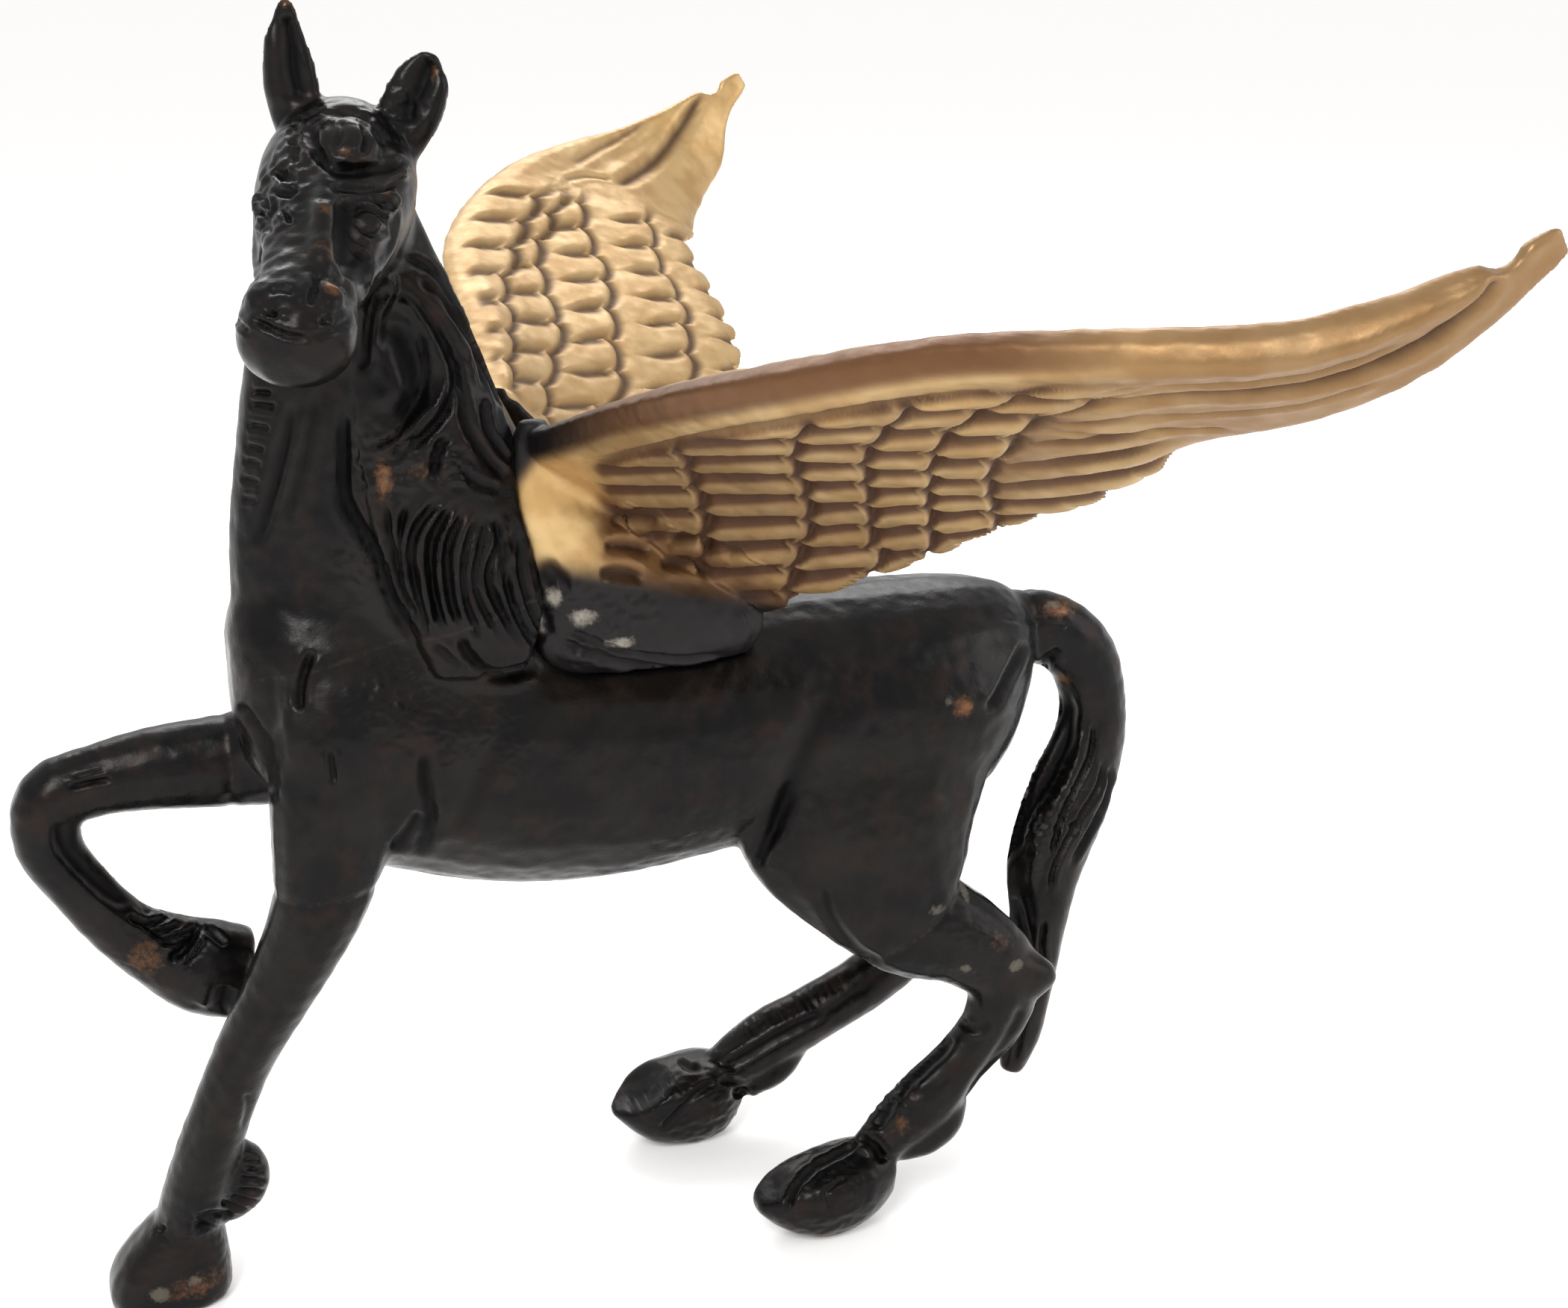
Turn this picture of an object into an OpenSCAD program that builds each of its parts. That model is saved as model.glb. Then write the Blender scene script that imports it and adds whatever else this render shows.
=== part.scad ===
// Winged horse statuette: separate castings that meet on flat faces, each
// located by a square tenon, locked by a cross pin and brazed round the joint.
// Millimetres, +Z up.  The horse faces -X and its left side faces -Y.  The
// origin is at the centre of the base of the statuette's box.

/* [Statue] */
// Overall height, from the soles to the tip of the right ear
height = 200; // [160:1:240]
// Points round each limb, tail and ear section
ring = 14; // [10:1:18]
// Points round the trunk, neck and head sections
body_ring = 24; // [18:1:30]
// Interpolated sections between two design sections
steps = 3; // [2:1:4]

/* [Wings] */
// Thickness of the wing blade along its middle
wing_t = 3.6; // [3:0.1:5]
// Thickness of the rounded leading rim
rim_t = 6; // [5:0.1:8]

/* [Joints] */
// Thickness of the braze layer between two castings
braze_t = 0.6; // [0.4:0.1:1]
// Gap all round a tenon in its mortise
slip = 0.15; // [0.05:0.01:0.3]
// Side of the square tenons of the limbs and the tail
tenon = 4.4; // [3:0.1:5]
// Side of the square tenon of the neck
neck_tenon = 12; // [8:0.5:14]
// Length of every tenon
tenon_l = 7; // [5:0.5:8]
// Diameter of the cross pins
pin_d = 2; // [1.5:0.1:2.5]
// Gap all round a cross pin in its hole
pin_slip = 0.05; // [0.02:0.01:0.1]

/* [Hidden] */
design_height = 200;
k = height / design_height;
bronze = [0.16, 0.13, 0.12];
brass = [0.72, 0.56, 0.30];
filler = [0.55, 0.50, 0.42];
steel = [0.60, 0.60, 0.62];
LATERAL = [0, 1, 0];
FORWARD = [1, 0, 0];
UP = [0, 0, 1];
// Squareness of the hooves, where 1 is an ellipse
hoof_box = 0.7;
// How much the hind hooves narrow upwards
hoof_taper = 0.25;
// Middle of the box along X, before the statuette is set on its origin
box_middle = 5.6;
// Longer than any piece
far = 200;

// Each joint: [centre of the torso's flat face, rotation that turns +Z out of
// the torso, side of the tenon, half-length of the cross pin, half-width of
// the block that the face cuts]
NECK_JOINT = [[-24, 0, 113], [0, -15, 0], neck_tenon, 9, 60];
LEFT_FORE_JOINT = [[-43, -11, 74], [0, 180, 0], tenon, 5.5, 20];
RIGHT_FORE_JOINT = [[-53, 12, 87], [0, -90, 0], tenon, 5, 20];
LEFT_HIND_JOINT = [[53, -16, 58], [0, 144, 0], tenon, 5.5, 40];
RIGHT_HIND_JOINT = [[57, 16, 54], [0, 144, 0], tenon, 5.5, 40];
TAIL_JOINT = [[77, 0, 98], [0, 90, 0], tenon, 3.5, 20];
LEFT_WING_JOINT = [[8, -11, 105], [90, 0, 0], tenon, 5, 60];
LIMB_JOINTS = [NECK_JOINT, LEFT_FORE_JOINT, RIGHT_FORE_JOINT,
               LEFT_HIND_JOINT, RIGHT_HIND_JOINT, TAIL_JOINT];

// --- curves and lofts -------------------------------------------------------

// Catmull-Rom point between b and c at t (0 to 1)
function crom(a, b, c, d, t) =
    0.5 * (2 * b + (c - a) * t + (2 * a - 5 * b + 4 * c - d) * t * t
           + (3 * b - a - 3 * c + d) * t * t * t);

// A list of stations with n - 1 new ones between each two
function smooth_list(s, n) =
    let (last = len(s) - 1)
    [for (i = [0:last - 1], j = [0:n - 1])
        crom(s[max(i - 1, 0)], s[i], s[i + 1], s[min(i + 2, last)], j / n),
     s[last]];

function unit(v) = v / norm(v);
function centre(s) = [s[0], s[1], s[2]];

// v raised to the power p, with its sign kept
function power(v, p) = sign(v) * pow(abs(v), p);

// One oval section: half-width a along side, half-depth b across it.  It is
// an ellipse where box is 1 and squarer where box is less, and taper narrows
// its top and widens its base
function section(c, along, side, a, b, n, box, taper) =
    let (s = unit(side - (side * along) * along), u = cross(along, s))
    [for (i = [0:n - 1])
        let (h = power(sin(360 * i / n), box))
        c + a * (1 - taper * h) * power(cos(360 * i / n), box) * s + b * h * u];

// Closed skin over equal rings
module skin(rings) {
    n = len(rings[0]);
    m = len(rings);
    polyhedron(
        points = [for (r = rings, p = r) p],
        faces = concat(
            [[for (i = [0:n - 1]) i]],
            [for (j = [0:m - 2], i = [0:n - 1])
                [j * n + i, (j + 1) * n + i, (j + 1) * n + (i + 1) % n]],
            [for (j = [0:m - 2], i = [0:n - 1])
                [j * n + i, (j + 1) * n + (i + 1) % n, j * n + (i + 1) % n]],
            [[for (i = [n - 1:-1:0]) (m - 1) * n + i]]));
}

// Loft through stations [x, y, z, half-width, half-depth].  The sections are
// square to the path, or to one direction where square_to gives it
module loft(stations, side = LATERAL, n = ring, square_to = undef, box = 1, taper = 0) {
    s = smooth_list(stations, steps);
    last = len(s) - 1;
    skin([for (i = [0:last])
        let (path = unit(centre(s[min(i + 1, last)]) - centre(s[max(i - 1, 0)])),
             along = is_undef(square_to) ? path : sign(path * square_to) * square_to)
        section(centre(s[i]), along, side, s[i][3], s[i][4], n, box, taper)]);
}

// --- joints -----------------------------------------------------------------

module at_joint(j) {
    translate(j[0]) rotate(j[1]) children();
}

// A block out of the torso, from height z1 to z2 above the joint's face
module slab(j, z1, z2) {
    at_joint(j) translate([-j[4], -j[4], z1]) cube([2 * j[4], 2 * j[4], z2 - z1]);
}

// Square tenon, or its mortise where gap is more than 0
module tenon_block(j, gap = 0) {
    w = j[2] + 2 * gap;
    at_joint(j) translate([-w / 2, -w / 2, -tenon_l - 2 * gap])
        cube([w, w, tenon_l + 2 * gap + braze_t + 1]);
}

// Cross pin through the middle of a tenon, or its hole where gap is more than 0
module cross_pin(j, gap = 0) {
    at_joint(j) translate([0, 0, -tenon_l / 2]) rotate([90, 0, 0])
        cylinder(d = pin_d + 2 * gap, h = 2 * j[3] + 2 * gap, center = true, $fn = 32);
}

// The part of a form that lies out of the joint, with its tenon
module limb(j) {
    difference() {
        union() {
            difference() {
                children();
                slab(j, -far, braze_t);
            }
            tenon_block(j);
        }
        cross_pin(j, pin_slip);
    }
}

// The layer of braze in a joint, open round the tenon
module braze(j) {
    color(filler) difference() {
        intersection() {
            children();
            slab(j, 0, braze_t);
        }
        tenon_block(j, slip);
    }
}

// The part of a form that belongs to the torso
module stub(j) {
    intersection() {
        children();
        slab(j, -far, 0);
    }
}

// A cross pin as a piece
module pin(j) {
    color(steel) cross_pin(j);
}

// --- sections of the castings -----------------------------------------------

BARREL = [[-53, 0, 105, 3.5, 7], [-51, 0, 104, 8, 13.5], [-45.5, 0, 102.5, 13, 19],
          [-38, 0, 98, 16.5, 23.5], [-26, 0, 93, 18.5, 23.5], [-12, 0, 89.5, 19.5, 23.5],
          [4, 0, 87.5, 20, 22.5], [20, 0, 87.5, 19.5, 21], [36, 0, 88, 19, 20.2],
          [50, 0, 87.8, 19.5, 20.2], [61, 0, 87.8, 18.5, 19.8], [69, 0, 90, 14.5, 16.5],
          [74, 0, 93, 9.5, 11.5], [77, 0, 95, 5, 6]];
NECK = [[-19, 0, 92, 15.5, 30], [-21, 0, 102, 15, 31], [-22, 0, 112, 14.2, 30],
        [-26, 0, 125, 12.5, 25.5], [-29, 0, 138, 11, 20.6], [-30.6, 0, 150, 10, 16.8],
        [-31.5, -1, 160, 9.3, 13], [-32, -2.5, 169, 8.8, 9.2], [-32.5, -4.5, 177, 8, 7],
        [-32.5, -6, 183, 4, 4]];
MANE = [[-31, -9, 182, 2.5, 3], [-29, -8.5, 172, 3.4, 5.5], [-26.5, -9.5, 160, 4, 8],
        [-24, -11.5, 146, 4.5, 10.5], [-21.5, -14, 130, 4.5, 12], [-19.5, -16, 116, 4, 10.5],
        [-19, -17, 106, 1.5, 7]];
LEFT_FORE = [[-37, -8, 99, 8, 11], [-39.5, -10, 90, 8, 10.5], [-41.5, -11, 81, 7.4, 9],
             [-44.2, -10.5, 70, 6.5, 7], [-50, -9, 58, 5.5, 5.6], [-56, -6, 46, 4.8, 4.8],
             [-60.5, -3, 34, 4.8, 4.8], [-63.5, -0.5, 24, 5.2, 5.2], [-66, 2, 15, 5.2, 5.2],
             [-67, 3, 10, 4, 5]];
LEFT_FORE_TUFT = [[-61.5, -0.5, 28.5, 2, 2], [-58, 0, 23.5, 4, 4.2], [-57.5, 0.5, 19, 4, 3.8],
                  [-61, 2, 14.5, 2.5, 2.5]];
LEFT_FORE_HOOF = [[-66.3, 2.5, 15.5, 4.4, 4.8], [-67.8, 3.5, 11, 6.2, 7.2],
                  [-69.3, 4, 6.5, 7.4, 9.1], [-69.8, 4, 2, 7.6, 9.6], [-69.8, 4, -2, 6.6, 8]];
RIGHT_FORE = [[-38, 9, 89, 7.5, 9.5], [-46, 11, 87.5, 7.2, 8.4], [-54, 12, 86.8, 6.5, 7.4],
              [-64, 12, 87, 5.8, 6.6], [-73, 12, 86.2, 5.2, 5.6], [-79.3, 12, 84, 5.4, 5.6],
              [-80.6, 12, 77, 5, 5], [-77.2, 12, 70, 4.4, 4.6], [-71.3, 12, 61.5, 4.6, 5],
              [-66, 12, 57, 5.4, 6.2], [-60, 12, 53, 7, 7.8], [-53.5, 12, 50.5, 7.2, 7.6]];
LEFT_HIND = [[41, -9, 90, 8, 19], [42.5, -11, 80, 9, 22.5], [43.8, -13, 71, 9, 21],
             [47, -14.5, 62, 8.4, 15.4], [51.5, -16, 54.5, 7.2, 10.5], [59, -18, 50.5, 5.8, 8],
             [65.8, -18.5, 43.5, 5.2, 6.8], [65.2, -18, 35, 4.8, 5.6], [59.5, -17.5, 28, 4.4, 4.6],
             [53, -16.8, 21, 4.9, 5.6], [47.5, -16, 16, 4.2, 4.6], [43, -16, 12, 3.5, 4]];
LEFT_HIND_TUFT = [[59, -17, 22, 2, 2], [56.5, -16.8, 17.5, 4, 3.8], [53, -16.5, 14, 3.8, 3.2],
                  [48, -16, 12.5, 2.5, 2.5]];
LEFT_HIND_HOOF = [[47, -16, 9, 4, 4], [44, -16, 8, 5.6, 6], [40, -16, 7, 6.6, 7],
                  [35, -16, 6.2, 6.8, 6.9], [30, -16, 6.4, 6, 5.6], [26, -16, 6.8, 4.4, 3.6],
                  [23, -16, 7.4, 2, 1.4]];
RIGHT_HIND = [[41, 9, 90, 8, 19], [43, 11.5, 79, 9, 22], [45.5, 13, 70, 8.8, 20],
              [50, 14.5, 61, 8.2, 15], [57, 16, 51.5, 6.8, 9.5], [65, 17.5, 42, 5.4, 7],
              [66.5, 18, 34, 5, 6], [58.5, 18.5, 26.5, 5, 5.4], [47.5, 19, 21, 5, 5.4],
              [38.5, 19.5, 17, 5, 5.8], [31.5, 20, 13, 4.4, 4.8], [27, 20, 10, 3.5, 4]];
RIGHT_HIND_TUFT = [[45, 19, 16, 2, 2], [40.5, 19.2, 12.5, 3.8, 3.6], [37, 19.5, 10, 3.8, 3.2],
                   [33, 20, 8.5, 2.5, 2.5]];
RIGHT_HIND_HOOF = [[32.5, 20.5, 8.5, 4, 4.2], [29.5, 20.5, 7.6, 6.2, 7], [25, 20.5, 7.2, 7.2, 8],
                   [20, 20.5, 7, 7, 7.6], [15, 20.5, 7.6, 6.4, 6.2], [11.5, 20.5, 8.4, 4.6, 4],
                   [8.8, 20.5, 9, 2, 1.8]];
TAIL = [[68, 0, 97, 4.4, 5], [75, 0, 98, 4.8, 5.8], [82.5, 0, 96, 5, 6.3], [88.5, 0, 90.5, 5, 6.2],
        [91, 0, 82, 5, 6], [89.7, -1, 74, 5, 7], [85, -3, 65, 5, 8.2], [80.3, -5, 55, 5, 7.2],
        [78.5, -7, 45, 4.5, 5], [77, -8, 34, 4, 3.8], [75, -8.5, 25, 3.6, 3.4],
        [73, -9, 18.5, 2, 2]];

SKULL = [-32.7, -6, 181];
MUZZLE_DIR = unit([-12.6, -31, -21]);
HEAD_SIDE = unit([-MUZZLE_DIR[1], MUZZLE_DIR[0], 0]);
HEAD_UP = cross(MUZZLE_DIR, HEAD_SIDE);
// [distance along the face, rise, half-width, half-depth]
HEAD = [[-6, -2, 4, 4], [-3, -2, 8, 7.5], [4, -2.6, 10.6, 9.8], [13, -3, 10.2, 10.2],
        [22, -2, 7.8, 8.8], [30, -0.8, 6.6, 7], [37, -0.4, 7.6, 7], [41.5, -0.8, 6.8, 6],
        [44, -1, 3.5, 3]];
function on_head(h) = concat(SKULL + h[0] * MUZZLE_DIR + h[1] * HEAD_UP, [h[2], h[3]]);
RIGHT_EAR = [[-37.6, -3, 182, 3.2, 2.6], [-38.4, -3.2, 187, 3.8, 2.4], [-38.8, -3.6, 193, 3.2, 1.8],
             [-38.5, -4, 199.9, 1.2, 0.8]];
LEFT_EAR = [[-26.5, -8.5, 179, 3.2, 2.6], [-24.2, -9, 183.5, 4.2, 2.4],
            [-21.8, -9.5, 189, 3.8, 1.8], [-20.8, -10, 193, 1.4, 0.8]];

// Leading and trailing edges of the left wing, from root to tip
LEAD = [[-10, -8, 139], [-10, -20, 142], [-7.5, -40, 148.5], [-5.5, -62, 154.8], [2.5, -81, 160.5],
        [15, -97, 165.5], [31, -112, 167.5], [45, -121, 169], [60, -126, 174.5], [72, -126.5, 180]];
TRAIL = [[24, -8, 106], [30, -20, 113], [41, -38, 123], [48, -56, 133], [50, -68, 138],
         [49.5, -82, 144.5], [48.5, -96, 152], [54, -110, 157], [62.5, -120.5, 164],
         [74.5, -126.5, 176.5]];
// Section of the blade as [part of its width, half-depth], from the thick
// leading rim to the thin trailing edge
BLADE = [[0, 0], [0.03, 0.36 * rim_t], [0.08, 0.5 * rim_t], [0.16, 0.42 * rim_t], [0.3, 0.5 * wing_t],
         [0.6, 0.5 * wing_t], [0.9, 0.34 * wing_t], [1, 0.08 * wing_t]];
// Wing root, from the front of the blade down to the pad on the flank
ROOT = [[-9, -12, 142, 2, 2], [-9, -12.5, 136, 3.6, 4.4], [-6.5, -13, 128, 4.4, 7.5],
        [-0.5, -13.3, 120, 4.6, 12], [6.5, -13.5, 113, 4.8, 17], [8, -13.3, 107, 4.6, 18],
        [8.5, -12.5, 103, 2.8, 15]];

// --- castings ---------------------------------------------------------------

module neck_form() {
    loft(NECK, n = body_ring, square_to = UP);
    loft(MANE, square_to = UP);
}

module head_form() {
    loft([for (h = HEAD) on_head(h)], HEAD_SIDE, body_ring);
    loft(RIGHT_EAR, HEAD_SIDE);
    loft(LEFT_EAR, HEAD_SIDE);
}

// Cuts the sole of a hoof flat on the ground
module standing() {
    difference() {
        children();
        translate([-far / 2, -far / 2, -far]) cube([far, far, far]);
    }
}

module left_fore_form() {
    standing() {
        loft(LEFT_FORE);
        loft(LEFT_FORE_TUFT);
        loft(LEFT_FORE_HOOF, square_to = UP, box = hoof_box);
    }
}

module left_hind_form() {
    standing() {
        loft(LEFT_HIND);
        loft(LEFT_HIND_TUFT);
        loft(LEFT_HIND_HOOF, square_to = FORWARD, box = hoof_box, taper = hoof_taper);
    }
}

module right_hind_form() {
    standing() {
        loft(RIGHT_HIND);
        loft(RIGHT_HIND_TUFT);
        loft(RIGHT_HIND_HOOF, square_to = FORWARD, box = hoof_box, taper = hoof_taper);
    }
}

module blade() {
    l = smooth_list(LEAD, steps);
    t = smooth_list(TRAIL, steps);
    last = len(l) - 1;
    n = len(BLADE) - 1;
    skin([for (i = [0:last])
        let (across = t[i] - l[i], w = norm(across), x = across / w,
             along = unit(l[min(i + 1, last)] - l[max(i - 1, 0)]),
             up = unit(cross(along, across)), thin = min(1, w / 16))
        [for (j = [0:2 * n - 1]) let (q = BLADE[j <= n ? j : 2 * n - j], side = j <= n ? 1 : -1)
            l[i] + x * w * q[0] - up * thin * q[1] * side]]);
}

module left_wing_form() {
    blade();
    loft(ROOT, square_to = UP);
}

// Both wing roots, as the pockets that seat them
module wing_seats() {
    for (turn = [0, 1]) mirror([0, turn, 0])
        intersection() {
            left_wing_form();
            slab(LEFT_WING_JOINT, 0, far);
        }
}

// Scales a piece and sets it on the origin
module place() {
    scale(k) translate([-box_middle, 0, 0]) children();
}

module torso() {
    color(bronze) place() difference() {
        union() {
            loft(BARREL, n = body_ring, square_to = FORWARD);
            stub(NECK_JOINT) neck_form();
            stub(LEFT_FORE_JOINT) loft(LEFT_FORE);
            stub(RIGHT_FORE_JOINT) loft(RIGHT_FORE);
            stub(LEFT_HIND_JOINT) loft(LEFT_HIND);
            stub(RIGHT_HIND_JOINT) loft(RIGHT_HIND);
            stub(TAIL_JOINT) loft(TAIL);
        }
        wing_seats();
        for (j = LIMB_JOINTS) {
            tenon_block(j, slip);
            cross_pin(j, pin_slip);
        }
        for (turn = [0, 1]) mirror([0, turn, 0]) {
            tenon_block(LEFT_WING_JOINT, slip);
            cross_pin(LEFT_WING_JOINT, pin_slip);
        }
    }
}

module neck_and_head() {
    color(bronze) place() difference() {
        limb(NECK_JOINT) {
            neck_form();
            head_form();
        }
        wing_seats();
    }
}

module left_foreleg() { color(bronze) place() limb(LEFT_FORE_JOINT) left_fore_form(); }
module right_foreleg() { color(bronze) place() limb(RIGHT_FORE_JOINT) loft(RIGHT_FORE); }
module left_hind_leg() { color(bronze) place() limb(LEFT_HIND_JOINT) left_hind_form(); }
module right_hind_leg() { color(bronze) place() limb(RIGHT_HIND_JOINT) right_hind_form(); }
module tail() { color(bronze) place() limb(TAIL_JOINT) loft(TAIL); }
module left_wing() { color(brass) place() limb(LEFT_WING_JOINT) left_wing_form(); }
module right_wing() { mirror(LATERAL) left_wing(); }

// --- braze layers and pins --------------------------------------------------

module neck_braze() { place() braze(NECK_JOINT) neck_form(); }
module left_foreleg_braze() { place() braze(LEFT_FORE_JOINT) loft(LEFT_FORE); }
module right_foreleg_braze() { place() braze(RIGHT_FORE_JOINT) loft(RIGHT_FORE); }
module left_hind_leg_braze() { place() braze(LEFT_HIND_JOINT) loft(LEFT_HIND); }
module right_hind_leg_braze() { place() braze(RIGHT_HIND_JOINT) loft(RIGHT_HIND); }
module tail_braze() { place() braze(TAIL_JOINT) loft(TAIL); }
module left_wing_braze() { place() braze(LEFT_WING_JOINT) left_wing_form(); }
module right_wing_braze() { mirror(LATERAL) left_wing_braze(); }

module neck_pin() { place() pin(NECK_JOINT); }
module left_foreleg_pin() { place() pin(LEFT_FORE_JOINT); }
module right_foreleg_pin() { place() pin(RIGHT_FORE_JOINT); }
module left_hind_leg_pin() { place() pin(LEFT_HIND_JOINT); }
module right_hind_leg_pin() { place() pin(RIGHT_HIND_JOINT); }
module tail_pin() { place() pin(TAIL_JOINT); }
module left_wing_pin() { place() pin(LEFT_WING_JOINT); }
module right_wing_pin() { mirror(LATERAL) left_wing_pin(); }

torso();
neck_and_head();
left_foreleg();
right_foreleg();
left_hind_leg();
right_hind_leg();
tail();
left_wing();
right_wing();
neck_braze();
left_foreleg_braze();
right_foreleg_braze();
left_hind_leg_braze();
right_hind_leg_braze();
tail_braze();
left_wing_braze();
right_wing_braze();
neck_pin();
left_foreleg_pin();
right_foreleg_pin();
left_hind_leg_pin();
right_hind_leg_pin();
tail_pin();
left_wing_pin();
right_wing_pin();
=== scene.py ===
# Winged horse statuette: the visible surface of every casting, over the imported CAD.
#
# The castings of the horse are merged as one distance field, modelled like clay
# and turned into a mesh.  The mesh is carved with strokes and cut again at the
# joints, so every casting and every braze is a piece of its own.
#
# Lengths are millimetres of the statuette at its 200 mm height, in the axes of
# the CAD: +Z up, the horse faces -X and its left side faces -Y.

import bmesh
import bpy
import numpy as np
import openvdb
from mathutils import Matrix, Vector, kdtree, noise


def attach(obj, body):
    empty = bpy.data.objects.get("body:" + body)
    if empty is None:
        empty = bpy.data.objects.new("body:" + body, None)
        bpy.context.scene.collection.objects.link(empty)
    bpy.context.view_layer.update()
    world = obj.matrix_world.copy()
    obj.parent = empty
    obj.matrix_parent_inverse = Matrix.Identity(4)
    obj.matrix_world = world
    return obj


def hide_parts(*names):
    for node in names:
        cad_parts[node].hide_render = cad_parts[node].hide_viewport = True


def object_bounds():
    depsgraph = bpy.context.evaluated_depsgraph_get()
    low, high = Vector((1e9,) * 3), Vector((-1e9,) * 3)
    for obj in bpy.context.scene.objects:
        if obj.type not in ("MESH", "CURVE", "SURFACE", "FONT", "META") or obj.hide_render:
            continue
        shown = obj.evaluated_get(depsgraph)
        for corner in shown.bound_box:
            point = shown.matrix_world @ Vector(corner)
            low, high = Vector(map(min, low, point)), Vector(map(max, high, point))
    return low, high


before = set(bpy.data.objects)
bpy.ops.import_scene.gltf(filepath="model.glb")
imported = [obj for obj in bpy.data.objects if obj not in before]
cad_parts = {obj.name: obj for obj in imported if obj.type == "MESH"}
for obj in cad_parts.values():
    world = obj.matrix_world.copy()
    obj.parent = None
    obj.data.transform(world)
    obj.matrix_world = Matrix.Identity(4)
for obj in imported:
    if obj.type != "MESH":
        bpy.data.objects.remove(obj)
cad_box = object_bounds()

SCALE = (cad_box[1][2] - cad_box[0][2]) / 200  # metres of the scene in a design millimetre
MIDDLE = np.array([5.6, 0, 0])  # the middle of the box in design coordinates
CASTINGS = ["torso", "neck_and_head", "left_foreleg", "right_foreleg", "left_hind_leg",
            "right_hind_leg", "tail"]
BODY_BRAZES = ["neck_braze", "left_foreleg_braze", "right_foreleg_braze",
               "left_hind_leg_braze", "right_hind_leg_braze", "tail_braze"]
BRAZE = 0.6  # thickness of a braze layer
GRID = 0.42  # step of the grids that the castings are modelled on
EYE = np.array([-84, -311, 210])  # where the camera stands, in design coordinates
RIGHT = (0, 1, 0)  # out of the horse's right side

# Each joint: centre, direction out of the torso, half-width of the block it cuts
JOINTS = {
    "neck": ((-24, 0, 113), (-0.2588, 0, 0.9659), 60),
    "left_foreleg": ((-43, -11, 74), (0, 0, -1), 20),
    "right_foreleg": ((-53, 12, 87), (-1, 0, 0), 20),
    "left_hind_leg": ((53, -16, 58), (0.5878, 0, -0.8090), 30),
    "right_hind_leg": ((57, 16, 54), (0.5878, 0, -0.8090), 30),
    "tail": ((77, 0, 98), (1, 0, 0), 12),
}


# --- vectors and curves ------------------------------------------------------

def vec(*v):
    return np.array(v, float)


def unit(v):
    v = np.asarray(v, float)
    return v / np.linalg.norm(v)


def curve(points, n=8):
    """Catmull-Rom curve through the rows of points, with n steps between each two."""
    p = np.asarray(points, float)
    p = np.vstack([2 * p[0] - p[1], p, 2 * p[-1] - p[-2]])
    t = np.linspace(0, 1, n, endpoint=False)[:, None]
    out = [0.5 * (2 * b + (c - a) * t + (2 * a - 5 * b + 4 * c - d) * t ** 2
                  + (3 * b - a - 3 * c + d) * t ** 3)
           for a, b, c, d in zip(p, p[1:], p[2:], p[3:])]
    return np.vstack(out + [p[-2:-1]])


def unit_rows(v):
    return v / np.linalg.norm(v, axis=1)[:, None]


def smooth(x, low, high):
    """0 below low, 1 above high, and a smooth step between."""
    t = np.clip((x - low) / (high - low), 0, 1)
    return t * t * (3 - 2 * t)


# --- clay: a distance field on a grid ----------------------------------------

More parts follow.
